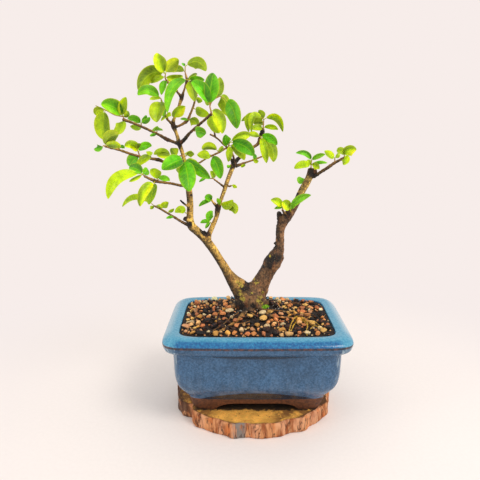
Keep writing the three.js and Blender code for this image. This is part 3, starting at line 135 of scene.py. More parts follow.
# Leafy stems. Twig rows are x, z, depth y and radius. Each shoot is its joints' x, z and depth y,
# and its leaves. Leaf rows are the joint that the leaf grows from, its tip's x, z and depth y, its
# width from the front, the sideways and upward bow of its midrib, the turn of its blade about the
# midrib in degrees, where 0 faces the viewer and over 90 shows the underside, and the tone of the
# seen side.
LEAFY_STEMS = {
    "left_high_stem": ([
        [(-66.5, 240.5, 0, 1.6), (-72, 242.6, 3, 1.3), (-77, 244.6, 5, 1.6), (-85, 249, 9, 1.1),
         (-97, 254.6, 14, 1.1), (-106, 258.3, 18, 1.05), (-113, 260.8, 21, 1.4)],
    ], [
        ([(-113, 260.8, 21), (-113, 263, 20), (-120, 264.5, 22), (-127.5, 268.5, 24),
         (-135.5, 272, 26)], [(3, -129, 243.5, 14, 14, -2, 1, 165, "o"),
         (0, -122.5, 249.5, 24, 9, 3, -1, 30, "y"), (1, -131, 273, 12, 12, 1, 3, 15, "g"),
         (3, -135.5, 264, 22, 7, -2, 1, 150, "y"), (1, -109.5, 279, 18, 8, -2.5, 0, 20, "y"),
         (1, -124, 275.5, 32, 7, 1, 3, 150, "y"), (1, -108.8, 268, 22, 4.5, 0.8, -0.5, 30, "y")]),
        ([(-98, 255.2, 14.5), (-98, 257.5, 12.5)], [(1, -109.3, 261.5, 8, 6, 0.5, 1.5, 20, "g"),
         (0, -107.5, 255.3, 25, 5.5, 0.3, -1.2, 160, "g"), (1, -93, 264, 16, 4, 0, 0.5, 35, "g"),
         (1, -90.5, 262.8, 8, 4.5, 0.5, 0, 30, "g")]),
        ([(-85.5, 249.2, 9), (-84.8, 251.3, 6)], [(1, -84.2, 255.4, -3, 9, 0, 0.8, 10, "o"),
         (0, -91.2, 247.3, 4, 3, 0, -0.3, 30, "g")]),
    ]),
    "left_low_stem": ([
        [(-61.5, 221.5, -0.5, 1.4), (-70, 224, -5, 1.2), (-80, 225.6, -10, 1.2),
         (-84.5, 227.3, -12, 1.5), (-92, 228.4, -15, 1.1), (-100, 230, -18, 1.1),
         (-108, 232.2, -20, 1.05), (-118, 235.6, -23, 1), (-129.5, 238.6, -26, 0.9)],
    ], [
        ([(-129.5, 238.6, -26), (-131, 239.2, -26.5)],
         [(1, -138.5, 237, -28, 6.5, -0.5, -1.8, 40, "g"),
         (0, -117.3, 248.3, -34, 12, -2.5, 2.5, 160, "o"),
         (0, -116, 238, -33, 7, 1, 2.5, 30, "y")]),
        ([(-118, 235.6, -23), (-117.3, 237, -24.5)], [(1, -113, 236.8, -27, 3.5, 0.3, 1.5, 20, "g"),
         (1, -119.5, 241, -22, 4, 0, 0, 150, "y")]),
        ([(-100.5, 230.1, -18), (-101.3, 233.5, -20), (-102.5, 236, -22)],
         [(1, -113, 238.5, -27, 8, 1, 3, 25, "y"), (1, -89.8, 238.7, -14, 7, -1, 3.2, 20, "g"),
         (2, -103.5, 240, -33, 9, 0, 0.5, 170, "o"),
         (0, -109.5, 221.5, -10, 10.5, -1, 1, 20, "g")]),
        ([(-91, 228.3, -14.7), (-91, 230.2, -17)], [(1, -103.8, 221.3, -24, 7, 1, 2, 25, "y"),
         (1, -93.2, 234.5, -14, 5, 0, 0, 30, "y")]),
    ]),
    "left_drooping_stem": ([
        [(-59, 205, 1, 1.5), (-66, 205.3, -6, 1.2), (-74, 207, -13, 1.1), (-83, 208.2, -19, 1.2),
         (-88, 209.3, -22, 1.5), (-93, 211.3, -25, 1.1), (-97, 213.3, -27, 1)],
    ], [
        ([(-88, 209.3, -22), (-88.5, 208.3, -25)], [(1, -102, 186.8, -36, 9.5, -2, 3, 15, "y"),
         (1, -94.3, 188.5, -16, 9, 0.5, 0.5, 155, "g")]),
        ([(-97, 213.3, -27), (-98.5, 215, -28.5)],
         [(1, -129.6, 193.3, -34, 10.5, -5.5, 7.4, 20, "y"),
         (1, -110, 220.8, -24, 9, 0.5, 1.5, 25, "g"), (1, -110.5, 208.8, -30, 3.5, 0, -1, 30, "y"),
         (1, -94, 219.5, -24, 7, 0, 0, 20, "g")]),
        ([(-85.5, 208.7, -20.5), (-85.6, 210.3, -21.5)], [(1, -90, 220, -16, 9, 0.3, 0, 25, "y"),
         (1, -75.3, 209.3, -24, 5.5, 0.5, 2.2, 25, "g")]),
    ]),
    "left_lowest_stem": ([
        [(-60, 170.5, 5, 1.6), (-66, 173.5, 7, 1.2), (-73, 178, 11, 1), (-80, 182.3, 14, 0.9),
         (-85.5, 185.5, 17, 0.8), (-89.5, 187.6, 18, 0.8)],
    ], [
        ([(-89.5, 187.6, 18), (-90, 188, 17)], [(1, -117.6, 186.5, 12, 5.5, -1.5, 8, 25, "y"),
         (1, -93.6, 185.4, 14, 3.6, 0, -0.8, 25, "y")]),
        ([(-82.5, 183.7, 15.5), (-83, 185.2, 13.5)], [(1, -76.8, 190.6, 9, 6.5, -0.8, 0.8, 20, "y"),
         (1, -87, 188.5, 19, 4, 0, 0, 30, "y")]),
        ([(-78, 181, 13), (-77.6, 182, 12)], [(1, -72.3, 185.2, 9, 3.2, 0, -0.3, 25, "y")]),
        ([(-72.5, 177.7, 10.7), (-72.8, 177.8, 10)], [(1, -79.6, 176.5, 6, 2.8, 0, 0.3, 25, "g")]),
    ]),
    "crown_right_stem": ([
        [(-66.5, 240.5, 0, 1.5), (-62.6, 243.6, -3, 1.7), (-57, 249.8, -8, 1.2),
         (-50, 255.8, -13, 1.15), (-44, 260.8, -18, 1.1), (-38.6, 265.3, -22, 1.4)],
    ], [
        ([(-38.6, 265.3, -22), (-39.3, 268.5, -23), (-39.8, 272, -24), (-37.5, 276, -25),
         (-31.5, 279.5, -25), (-26.5, 276.5, -24)], [(2, -36.5, 298, -22, 13, -1, 1, 15, "g"),
         (3, -31.5, 295, -10, 9, 1.5, 0, 160, "o"), (2, -55, 291, -30, 11, 1, 3, 20, "g"),
         (1, -29.8, 249, -28, 11, 3, 3, 20, "y"), (0, -32.3, 249.3, -14, 8, -1, 0, 30, "y"),
         (4, -25.8, 263.5, -17, 11, 1.6, 2.5, 160, "o"), (5, -17.3, 253, -30, 13, 2, 3, 15, "g"),
         (2, -45, 285, -5, 8, 0, 0, 150, "o"), (3, -37, 290, 0, 8, 0, 0, 150, "o")]),
        ([(-54.5, 252, -9.8), (-53.2, 251.3, -11)],
         [(1, -43.3, 249.3, -18, 10, 0.5, 0.5, 20, "g")]),
    ]),
    "upper_left_stem": ([
        [(-70.7, 255.5, 4, 1.2), (-74, 259, 2, 1), (-76.2, 261.6, 0, 0.9), (-78.5, 268.5, -3, 0.7),
         (-80.3, 276, -5, 0.8)],
    ], [
        ([(-80.3, 276, -5), (-80.6, 277.6, -6)], [(1, -100, 280.3, -16, 9, -0.5, 5.5, 20, "g"),
         (1, -90.2, 277.2, -2, 3.6, 0, 0.6, 30, "y"),
         (0, -84.8, 258.3, -22, 13.5, -1, 0.5, 20, "y"), (0, -78.8, 262.5, -8, 6, 1, 0, 30, "p")]),
        ([(-75.2, 260.6, 1), (-75.4, 262.3, -1.5)], [(1, -81.3, 259.6, 2, 2.6, 0, 1, 30, "y"),
         (1, -72.8, 266.3, -3, 4.2, -0.5, 0.5, 30, "y")]),
    ]),
    "upper_middle_stem": ([
        [(-70.5, 254.5, 4, 1.3), (-65.5, 255.8, 8, 1), (-59.2, 259.8, 13, 1.4),
         (-56.3, 265.5, 15, 0.9), (-54, 271, 17, 0.9), (-52.3, 276, 18, 0.8),
         (-50.6, 280.5, 19, 0.8)],
    ], [
        ([(-59.2, 259.8, 13), (-58, 260.3, 11)], [(1, -51.2, 256.5, 6, 8.5, 0.8, 1.2, 160, "o"),
         (1, -65, 261.2, 14, 2.4, 0, 0.2, 30, "g")]),
        ([(-54.3, 270, 16.7), (-52.8, 269.5, 14)], [(1, -40.5, 265, 4, 8, 0, -0.2, 20, "y")]),
        ([(-52, 276.8, 18.2), (-51.6, 277, 17.6)], [(1, -46, 275.5, 14, 5, 0, 0.5, 25, "y")]),
        ([(-50.6, 280.5, 19), (-50.5, 281.3, 19.5)], [(1, -46, 286, 26, 6, 0, 0, 30, "y"),
         (1, -55, 288, 28, 7, 0, 0, 150, "y")]),
    ]),
    "crown_stem": ([
        [(-63.2, 278.5, 7.5, 1.7), (-66.5, 282.5, 5, 0.9), (-70.5, 286.5, 2, 0.8),
         (-74.5, 290.5, -1, 1), (-76, 292.5, -2, 0.9)],
        [(-63.2, 278.5, 7.5, 1.5), (-61, 285, 10, 0.8), (-58.7, 291.6, 13, 1.2),
         (-59.6, 297, 15, 0.7)],
    ], [
        ([(-76, 292.5, -2), (-76.6, 295, -4), (-76.2, 297.5, -5.7)],
         [(2, -99.2, 283.5, -14.4, 13, -1.5, 6.5, 165, "o"), (1, -89, 290, -3, 5, 0, 1, 30, "y"),
         (2, -82, 313.6, -8, 11, -2, 0, 20, "y"), (2, -64.8, 308.3, -2, 11, -1, 1.5, 160, "y"),
         (1, -61.8, 295.6, 0, 7, 0, -1.5, 25, "y"), (0, -80.2, 280.5, -6, 6, 0, 1.5, 30, "g")]),
        ([(-67, 283.2, 4.5), (-66.5, 284.2, 7)], [(1, -70.5, 284.5, 23, 8, 0, 0.5, 150, "o")]),
        ([(-58.7, 291.6, 13), (-57.3, 292.9, 4.3)], [(1, -44, 292.3, 2, 5.5, 0, 1, 20, "g"),
         (1, -75.6, 265.8, -20.4, 9, -4, 7, 25, "g"), (1, -52.8, 275.3, 2, 9, 0.5, 1.5, 150, "o"),
         (0, -50, 297.2, 20, 4, 0, 1, 30, "y")]),
        ([(-59.6, 297, 15), (-60, 299, 15.5), (-59.8, 303.2, 16)],
         [(2, -43, 299.3, 10, 10.5, 1.5, 5.5, 150, "o"), (2, -62, 306, 19, 2.6, -0.3, 0, 30, "g"),
         (1, -71.5, 299.5, 6, 6, 0, 1.5, 155, "o")]),
    ]),
    "right_cluster_stem": ([
        [(-19, 224.5, 23.5, 1.6), (-16.2, 228.2, 25, 1.7), (-10, 233, 27, 1.2),
         (-4, 237.5, 30, 1.1), (0.8, 241, 32, 1.4), (2.2, 246.5, 33, 1.2), (4.2, 250.3, 34, 2),
         (4.8, 254, 34, 0.9)],
    ], [
        ([(4.8, 254, 34), (5.2, 258.5, 34.3), (5.3, 260.8, 34.5)],
         [(2, 21.6, 250.3, 26, 6.5, 3.1, 7, 25, "y"), (0, 17.6, 252.3, 30, 4.6, 0.5, 1.8, 25, "y"),
         (2, -4.8, 250, 24, 6, -3.7, 8, 25, "y"), (2, 1, 268.5, 38, 6, 0, 0, 150, "o"),
         (1, -7.2, 250.2, 36, 7, -5, 8, 150, "o"), (1, -4, 258.5, 33, 6.5, 0, 0.8, 155, "o"),
         (0, -5, 253, 28, 6, 0, 0.5, 25, "y"), (1, -13.6, 259.3, 44, 5.5, 0, 3.5, 150, "o"),
         (1, -3, 257, 50, 7, 0, 0, 150, "o")]),
        ([(2.2, 246.5, 33), (2.4, 246.8, 30)], [(1, -8.2, 249, 26, 5, 0, 0.5, 20, "y"),
         (1, 16.8, 239.5, 22, 8, 1.5, 2.5, 20, "g"), (1, 8, 224.3, 18, 7.5, 1.2, 1, 20, "y"),
         (1, 13.8, 225.3, 30, 10.5, 4, 1.5, 160, "o")]),
    ]),
    "right_thin_stem": ([
        [(-20, 223, 23, 1.5), (-17.5, 222.3, 24, 1.5), (-10, 224.9, 28, 0.8), (-4, 226.9, 31, 0.75),
         (2, 229.2, 34, 0.7), (5.2, 230.4, 36, 0.6)],
    ], [
        ([(-3.5, 227.1, 31.3), (-3.3, 228, 30)], [(1, 1.2, 225.8, 30, 3.6, 0, -0.5, 25, "y"),
         (1, -1.5, 232, 33, 4, 0, 0, 25, "g")]),
        ([(-10.5, 224.7, 27.7), (-10.8, 224.3, 27)], [(1, -13.8, 221, 25, 4.6, 0, 0, 25, "y")]),
    ]),
    "centre_stem": ([
        [(-20, 224.5, 22.5, 1.3), (-20.5, 230.5, 17, 0.9), (-24.8, 237.2, 10, 0.9),
         (-32, 233.8, 6, 0.8), (-39.5, 230.4, 2, 0.8), (-44.5, 227.8, 0, 0.7),
         (-49.3, 224.8, -2, 0.8)],
        [(-24.8, 237.2, 10, 0.8), (-29, 240.5, 7, 0.75), (-32.5, 244, 4, 0.7), (-36, 246.6, 2, 0.8),
         (-40, 248.6, 0, 0.8)],
        [(-35.8, 246.8, 2, 0.8), (-36.3, 250, 0, 0.7), (-37.8, 253.5, -2, 0.6)],
    ], [
        ([(-49.3, 224.8, -2), (-50.2, 225, -2.5)], [(1, -59, 228.8, -6, 2.8, 0, -0.8, 40, "y")]),
        ([(-39.5, 230.4, 2), (-39.8, 231.5, 0)], [(1, -51.5, 231.5, -10, 8, 0.5, -0.5, 20, "y"),
         (0, -31.8, 211, -4, 11, 1.5, 2, 15, "g")]),
        ([(-33, 233.4, 5.6), (-33.5, 234.6, 3.5)], [(1, -47.3, 236.3, -8, 7, 0, 3, 165, "o"),
         (1, -28.8, 238.3, 7, 4, 0, 0, 30, "y")]),
        ([(-24.8, 237.2, 10), (-24.3, 239.5, 5), (-23.5, 242, 1)],
         [(2, -3, 230.5, -10, 12, 2.5, 2.5, 10, "g"), (2, -6, 247, 8, 8, 1.5, 3, 20, "y"),
         (1, -11, 226.8, -4, 8.5, 2.5, 2, 20, "y"), (1, -26.5, 248.5, -3, 8, -1.5, 0, 25, "g"),
         (1, -24.8, 225.5, 3, 6, 1, 0.5, 25, "y")]),
        ([(-37.8, 253.5, -2), (-38.2, 254.8, -3)], [(1, -42, 261.5, -8, 4.5, -0.5, -1, 25, "y"),
         (1, -34, 256, 4, 4, 0, 0, 30, "y")]),
        ([(-22, 233, 14), (-21, 234, 18)], [(1, -12, 240, 45, 8, 0, 0, 150, "o"),
         (1, -22, 236, 42, 8, 0, 0, 150, "o")]),
    ]),
    "leader_left_shoot": ([
    ], [
        ([(-63.3, 231, -0.5), (-68, 230.3, -7), (-73.5, 230.8, -12)],
         [(2, -88.5, 231.8, -24, 6, 0, 3, 165, "o"), (1, -72.5, 237.3, -5, 8, -1, 0.5, 160, "o"),
         (2, -86, 231, -15, 4.5, 1, -0.8, 20, "y"), (2, -74, 226.8, -14, 5, 0.5, 0, 20, "y")]),
    ]),
    "leader_right_shoot": ([
    ], [
        ([(-63, 229.8, -0.5), (-60.3, 230.8, 1)], [(1, -53.8, 231.6, 4, 5.5, 0, 1, 160, "o"),
         (1, -56, 235, 14, 6, 0, 0, 150, "y")]),
    ]),
    "leader_front_shoot": ([
    ], [
        ([(-62.4, 226, -0.7), (-63, 227.5, -6), (-62.6, 228, -11)],
         [(2, -59, 200, -32, 16, 1, 0, 10, "b"), (2, -82, 219, -27, 13, 0, 1, 15, "g"),
         (1, -40.3, 211, -20, 10, 0.7, 1.3, 25, "b")]),
    ]),
    "leader_back_shoot": ([
    ], [
        ([(-60.3, 213, 0.5), (-61, 215, 8)], [(1, -70, 219, 22, 8, 0, 0, 150, "o"),
         (1, -62, 207, 20, 8, 0, 0, 150, "o")]),
    ]),
    "leader_high_shoot": ([
    ], [
        ([(-71.2, 258.5, 4.5), (-70.6, 261.5, 0)], [(1, -60.3, 271.3, -6, 9, -1.2, 1.2, 25, "y")]),
    ]),
    "leader_low_shoot": ([
    ], [
        ([(-58.6, 181, 4.5), (-62.5, 181.3, 0)], [(1, -71.8, 181.8, -4, 7, 1, 2.5, 20, "y")]),
    ]),
    "spur_left_shoot": ([
    ], [
        ([(-38.2, 190.6, 9), (-39.7, 192, 7)], [(1, -45.5, 194.5, 4, 7, 0.5, 1, 20, "g"),
         (1, -50.7, 187, 2, 4, 0, 1.2, 25, "g")]),
    ]),
    "spur_right_shoot": ([
    ], [
        ([(-33.2, 187, 15.5), (-31.6, 188.3, 11.5)], [(1, -20.8, 193, 6, 8, 0, -2, 25, "y"),
         (1, -19.3, 180.3, 4, 9, 4.1, 3.3, 160, "o"), (1, -34.5, 194.5, 10, 4, -0.5, 0, 30, "o")]),
    ]),
    "middle_low_shoot": ([
    ], [
        ([(-38.4, 171, 11.3), (-41, 173, 7)], [(1, -38.5, 183, 6, 7, -2, 1, 20, "g"),
         (1, -49.7, 172.5, 3, 4, 0, 1, 25, "g"), (1, -45.2, 167.5, 4, 3.2, 0, 0, 25, "g")]),
    ]),
    "middle_right_shoot": ([
        [(-26.6, 206, 19, 0.8), (-24, 204.6, 18, 0.8), (-22.4, 205.2, 17.5, 0.7)],
    ], [
        ([(-22.4, 205.2, 17.5), (-21.6, 205.3, 17.3)],
         [(1, -17.3, 203.3, 16, 3.4, 0, 0.6, 25, "y")]),
    ]),
    "middle_left_shoot": ([
        [(-28.4, 204, 18.5, 1), (-33, 207.6, 14, 0.75), (-37, 210.6, 10, 0.7)],
    ], [
        ([(-37, 210.6, 10), (-38, 211.3, 9), (-44, 211.5, 6)],
         [(1, -40.2, 217.8, 8, 5, 1, 0, 25, "y"), (2, -50, 208.3, 4, 2.6, 0, 0.3, 30, "g")]),
    ]),
    "middle_top_shoot": ([
    ], [
        ([(-21.8, 223.5, 22.8), (-23.2, 222.6, 19.5)], [(1, -25.6, 220.4, 18, 3.4, 0, 0, 25, "g")]),
    ]),
    "right_fork_shoot": ([
    ], [
        ([(29.5, 181.5, 12.5), (29.8, 182.5, 8), (29.5, 184, 5)],
         [(2, 21.8, 190.8, 0, 9, -0.5, 1, 20, "y"), (2, 47.2, 197, -4, 7, -2.4, 3, 20, "p"),
         (2, 33, 193, 2, 4.5, 0, 0, 25, "p")]),
    ]),
    "right_inner_shoot": ([
        [(26, 179, 11, 1.2), (24, 181.6, 8, 1.1), (22.3, 184, 6, 0.9)],
    ], [
        ([(22.3, 184, 6), (22.8, 186, 5)], [(1, 12, 192.6, 0, 7, 1, 1.5, 20, "y"),
         (1, 15.3, 185, 4, 3, 0, 0.3, 30, "g")]),
    ]),
    "right_top_shoot": ([
    ], [
        ([(46.4, 219, 10), (46.3, 223, 9), (46.6, 226.5, 8)],
         [(2, 32.8, 233, 2, 5, 2, 2.5, 20, "g"), (2, 58.2, 231.8, 4, 4.6, -1, 1.3, 20, "p"),
         (1, 60.3, 224.5, 2, 3.2, 0, 1.5, 30, "p"), (1, 53.3, 219.3, 2, 6, 1, 1, 25, "y"),
         (1, 31.8, 219.8, 4, 7, 0, 1.5, 20, "y"), (1, 43.2, 227.5, 12, 4, 0, 0, 30, "y")]),
    ]),
    "right_side_stem": ([
        [(46.3, 213, 10.5, 2), (49.6, 213.8, 10, 2), (53, 215.7, 9, 1.4), (60, 220.2, 6, 1.35),
         (67, 225, 3, 1.25), (74.3, 229, 0, 1.1)],
    ], [
        ([(66.5, 224.7, 3.2), (66.4, 229, 1)], [(1, 57.3, 235, -4, 6, 0, -0.5, 20, "y"),
         (1, 70.5, 233, 8, 4, 0, 0, 30, "y")]),
        ([(74.3, 229, 0), (74.5, 230.5, -0.5)], [(1, 84.6, 235.6, -6, 10, -1.5, 2.2, 15, "y"),
         (1, 73.8, 222.8, -7, 7, 2, 0.5, 20, "y"), (1, 67.6, 234.8, 4, 6, 0.5, 1.8, 25, "y")]),
    ]),
    "right_back_shoot": ([
    ], [
        ([(41, 205, 13.5), (39.5, 206.5, 18)], [(1, 37.3, 212.8, 21, 7, -0.8, 0, 20, "p")]),
    ]),
}

# Knots and scars that are almost black, as seen from the front: x, z, reach
DARK_KNOTS = [
    (-66.3, 241, 4.5), (-70.6, 256, 4.5), (-63.2, 278.5, 3.5), (-58.7, 291.6, 3), (-59, 171, 3.2),
    (-63.6, 176.6, 3.4), (-66, 192, 6), (-34.2, 186, 4.5), (-20.3, 224, 6), (-43.5, 163, 3.4),
    (47, 216.5, 5.5), (20, 181.5, 3.6), (27, 179, 4), (35.2, 198.2, 2.2), (-45, 164, 4),
    (3, 248, 4), (-16.4, 228, 3.5), (16.5, 154.5, 2), (-24.8, 237, 2), (-57, 197, 1.6),
    (13, 139, 6), (18, 140.5, 5), (12, 133.5, 4), (6, 133, 2), (-10.5, 112.5, 5), (-8, 116, 3.4),
    (-15.6, 98.5, 5.5), (-11, 94, 5), (-17.5, 104, 3.4), (4.5, 100.5, 2.5), (-3, 96, 3),
    (16, 152, 2.4),
]
# Lichen on the bark, as seen from the front: x, z, reach
LICHEN = [
    (-14.5, 116.5, 3.4), (-17, 118.4, 2.4), (-12.6, 114.6, 2), (-2.5, 121.4, 2.6),
    (0.2, 117.8, 2.6), (-14.3, 107, 2.8), (-12.6, 103.4, 3), (-10.8, 101, 2), (3.7, 104, 2.8),
    (2.4, 100.6, 3), (5.3, 98, 2.4), (-15, 110.5, 1.6), (5.5, 108.5, 1.8), (12.1, 142.5, 1.6),
    (-4.5, 108, 1.6),
]
# Lumps and scars that stand out from the limbs, as seen from the front: x, z, reach, height
LUMPS = [
    (2.8, 141.4, 2.4, 1), (0, 136, 2, 0.9), (25.6, 140, 4.5, 1.3), (22, 131.5, 3.5, 0.6),
    (15.4, 154.4, 1.6, 0.8), (14.8, 150.6, 1.6, 0.7), (-24, 118.5, 3, 0.5), (9, 109, 4, 0.9),
    (-3.5, 106, 4, 0.8), (-12.2, 104, 3.2, 0.9), (-21.6, 112, 2.4, 0.6), (16.8, 170, 1.4, 0.6),
    (17.6, 176, 1.5, 0.7), (-44.2, 152, 2, 0.4), (-57.5, 205, 1.2, 0.5), (-62.2, 215, 1.1, 0.5),
    (-29.5, 193.5, 1, 0.5), (10.5, 121, 3, 0.6),
]

# Colours, as red, green and blue from 0 to 255
WOOD_TONES = {
    "base": (112, 82, 52), "left": (206, 164, 78), "left_low": (150, 112, 58),
    "right": (142, 102, 66), "right_high": (228, 186, 94), "middle": (212, 168, 84),
    "knot": (26, 16, 10), "root": (150, 112, 58), "thin_root": (222, 176, 52),
    "twig": (138, 98, 48), "twig_end": (184, 140, 66), "young": (160, 160, 34),
    "young_red": (176, 112, 62),
}
# Painted light and shade on the bark: the sides of the wood that face this way are made lighter,
# and the others darker
PAINTED_LIGHT_SIDE = Vector((0.62, -0.18, 0.76))
BARK_IN_SHADE = 0.3
BARK_IN_SUN = 1.12
# A leaf's two sides by the tone of its seen side: upper, under
LEAF_TONES = {
    "g": ((82, 188, 0), (140, 186, 0)),
    "b": ((74, 204, 0), (146, 198, 4)),
    "y": ((186, 224, 0), (196, 222, 0)),
    "o": ((116, 192, 0), (142, 174, 0)),
    "p": ((120, 214, 36), (170, 220, 50)),
}
STONE_TONES = [
    (226, 158, 96), (214, 140, 76), (238, 186, 118), (230, 168, 80), (206, 124, 72),
    (246, 214, 160), (190, 118, 74), (240, 190, 104), (218, 160, 112), (252, 228, 174),
    (232, 150, 90),
]
DARK_TONES = [(30, 20, 16), (18, 14, 14), (50, 30, 22), (24, 20, 22)]
MOSS_TONES = [(140, 200, 20), (96, 160, 16), (190, 220, 50)]
CHIP_TONES = [*DARK_TONES, (96, 62, 36), (74, 46, 30)]
PERLITE_TONE = (226, 220, 206)
BROWN_ROOT_TONE = (150, 104, 48)
# The tones under the materials that draw all their own colours
BASE_TONES = {"pot": (70, 110, 150), "soil": (30, 22, 18), "slice": (150, 96, 56)}
BACKGROUND = (247, 237, 234)
FLOOR_TONE = (244, 237, 233)
AMBIENT_TONE = (250, 246, 244)
LAMP_TONE = (255, 250, 244)

# What the random draws of each loose piece start from
SEEDS = {"gravel": 11, "chips": 23, "perlite": 5, "loose_roots": 31, "moss": 41}


def linear(tone):
    """A colour from 0 to 255 as the shader's own linear red, green, blue and alpha"""
    channels = [v / 255 for v in tone]
    return (*[v / 12.92 if v <= 0.04045 else ((v + 0.055) / 1.055) ** 2.4 for v in channels], 1)


def blend_tones(a, b, share):
    return tuple(p + (q - p) * share for p, q in zip(a, b))


def lighten(tone, factor):
    return tuple(min(v * factor, 255) for v in tone)


def clamp(value):
    return min(1, max(0, value))


def depth_scale(y):
    return (y - EYE.y) / -EYE.y


def place(row):
    """The real place of a point seen from the front at x, z and lying at depth y"""
    x, z, y = row[:3]
    k = depth_scale(y)
    return Vector((EYE.x + (x - EYE.x) * k, y, EYE.z + (z - EYE.z) * k))


def as_seen(point):
    """Where a real point is seen from the front: x and z"""
    k = depth_scale(point.y)
    return EYE.x + (point.x - EYE.x) / k, EYE.z + (point.z - EYE.z) / k


def closeness(point, spots):
    """1 in the middle of a spot of the view from the front, falling to 0 at its reach"""
    x, z = as_seen(point)
    nearest = min(math.hypot(x - a, z - b) / reach for a, b, reach in spots)
    return max(0.0, 1 - nearest)


def soil_top(x, y):
    across = (x - MOUND["x"]) / MOUND["spread_x"]
    back = (y - MOUND["y"]) / MOUND["spread_y"]
    return SOIL_EDGE + MOUND["height"] * math.exp(-(across * across + back * back) / 2)


def smooth_rows(rows, steps):
    """Rows of numbers on a smooth curve through the given rows, with steps rows to a stretch"""
    padded = [rows[0], *rows, rows[-1]]
    out = []
    for i in range(1, len(padded) - 2):
        for step in range(steps):
            t = step / steps
            out.append(tuple(
                0.5 * (2 * q + (r - p) * t + (2 * p - 5 * q + 4 * r - s) * t * t
                       + (3 * q - p - 3 * r + s) * t ** 3)
                for p, q, r, s in zip(*padded[i - 1:i + 3])
            ))
    out.append(tuple(float(v) for v in rows[-1]))
    return out


def new_mesh(name, points, faces):
    mesh = bpy.data.meshes.new(name)
    mesh.from_pydata([tuple(p * MM) for p in points], [], faces)
    return mesh


def new_object(name, data):
    made = bpy.data.objects.new(name, data)
    bpy.context.scene.collection.objects.link(made)
    return made


def circle(x, z, radius, sides):
    """A level ring of points whose centre is at x on the line y = 0"""
    angles = [i / sides * math.tau for i in range(sides)]
    return [Vector((x + radius * math.cos(a), radius * math.sin(a), z)) for a in angles]


class Shape:
    """Vertices in millimetres with faces, tones and blade places, gathered into one mesh"""

    def __init__(self):
        self.points = []
        self.faces = []
        self.tones = []
        self.places = []
        self.slots = []
        self.sharp = set()

    def add(self, points, faces, tones, places=None, slots=None):
        """tones and places are one for each point, or tones is one tone for all of them"""
        start = len(self.points)
        self.points.extend(points)
        self.faces.extend([tuple(start + i for i in face) for face in faces])
        each = tones if isinstance(tones, list) else [tones] * len(points)
        for n, face in enumerate(faces):
            self.tones.extend(each[n] if isinstance(each[0], list) else [each[i] for i in face])
            self.places.extend([places[i] for i in face] if places else [(0, 0)] * len(face))
        self.slots.extend(slots if slots else [0] * len(faces))
        return start

    def add_rings(self, rings, tones, slots=None):
        self.add([p for ring in rings for p in ring], bridge(rings), tones, slots=slots)

    def build(self, name, materials, slot, smooth=True):
        """One piece of the root body, with the given materials; slot is not used"""
        mesh = new_mesh(name, self.points, self.faces)
        mesh.polygons.foreach_set("use_smooth", [smooth] * len(self.faces))
        mesh.polygons.foreach_set("material_index", self.slots)
        tint = mesh.attributes.new("tint", "FLOAT_COLOR", "CORNER")
        tint.data.foreach_set("color", [v for tone in self.tones for v in linear(tone)])
        blade = mesh.uv_layers.new(name="blade")
        blade.data.foreach_set("uv", [v for spot in self.places for v in spot])
        if self.sharp:
            sharp = mesh.attributes.new("sharp_edge", "BOOLEAN", "EDGE")
            keys = [tuple(sorted(edge.vertices)) in self.sharp for edge in mesh.edges]
            sharp.data.foreach_set("value", keys)
        for material in materials:
            mesh.materials.append(material)
        piece = new_object(name, mesh)
        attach(piece, "root")
        return piece


def bridge(rings):
    """Faces between rings of equal length, where a ring of one point closes an end"""
    starts = [0]
    for ring in rings:
        starts.append(starts[-1] + len(ring))
    faces = []
    for r in range(len(rings) - 1):
        low, high = rings[r], rings[r + 1]
        for i in range(max(len(low), len(high))):
            a = starts[r] + i % len(low)
            b = starts[r] + (i + 1) % len(low)
            c = starts[r + 1] + (i + 1) % len(high)
            d = starts[r + 1] + i % len(high)
            if len(low) == 1:
                faces.append((a, c, d))
            elif len(high) == 1:
                faces.append((a, b, c))
            else:
                faces.append((a, b, c, d))
    return faces


def tube_rings(centres, radii, sides, roughen=0, grain=1.5):
    """Rings of a round limb with domed ends, its surface roughened by noise"""
    rings = []
    across = None
    last = len(centres) - 1
    for i, centre in enumerate(centres):
        along = (centres[min(i + 1, last)] - centres[max(i - 1, 0)]).normalized()
        across = across or (Vector((0, 1, 0)).cross(along))
        if across.length < 0.1:
            across = Vector((1, 0, 0)).cross(along)
        across = (across - along * across.dot(along)).normalized()
        up = along.cross(across)
        ring = []
        for s in range(sides):
            angle = s / sides * math.tau
            out = across * math.cos(angle) + up * math.sin(angle)
            rough = 1 + roughen * noise.noise((centre + out * radii[i]) / grain)
            ring.append(centre + out * radii[i] * rough)
        rings.append(ring)
    foot = centres[0] - (centres[1] - centres[0]).normalized() * radii[0] * 0.5
    head = centres[-1] + (centres[-1] - centres[-2]).normalized() * radii[-1] * 0.5
    return [[foot], *rings, [head]]


def weathered_and_painted_light(tone, facing):
    """Bark tone with painted light and shade: lighter on the side that faces the light, darker
    elsewhere
    """
    painted_light_share = clamp(0.5 + 0.85 * facing)
    return blend_tones(lighten(tone, BARK_IN_SHADE), lighten(tone, BARK_IN_SUN), painted_light_share)


def add_tube(shape, centres, radii, tones, sides, roughen=0, grain=1.5, bark=False):
    rings = tube_rings(centres, radii, sides, roughen, grain)
    ends = [tones[0], *tones, tones[-1]]
    middles = [centres[0], *centres, centres[-1]]
    each = []
    for ring, tone, middle in zip(rings, ends, middles):
        for p in ring:
            out = (p - middle).normalized()
            # Bark gets painted light and shade by the way each point faces
            each.append(weathered_and_painted_light(tone, out.dot(PAINTED_LIGHT_SIDE)) if bark else tone)
    shape.add_rings(rings, each)


# Leaves

LEAF_ROWS = 13
LEAF_COLUMNS = 5
PETIOLE = 0.08
LEAF_THICKNESS = 0.34
MIDRIB_RADIUS = 0.34
STALK_TAPER = (1.2, 1, 0.9, 0.5)
STALK_SIDES = 6
SHOOT_RADIUS = 0.62
SHOOT_TAPER = 0.2
TWIG_SIDES = 12
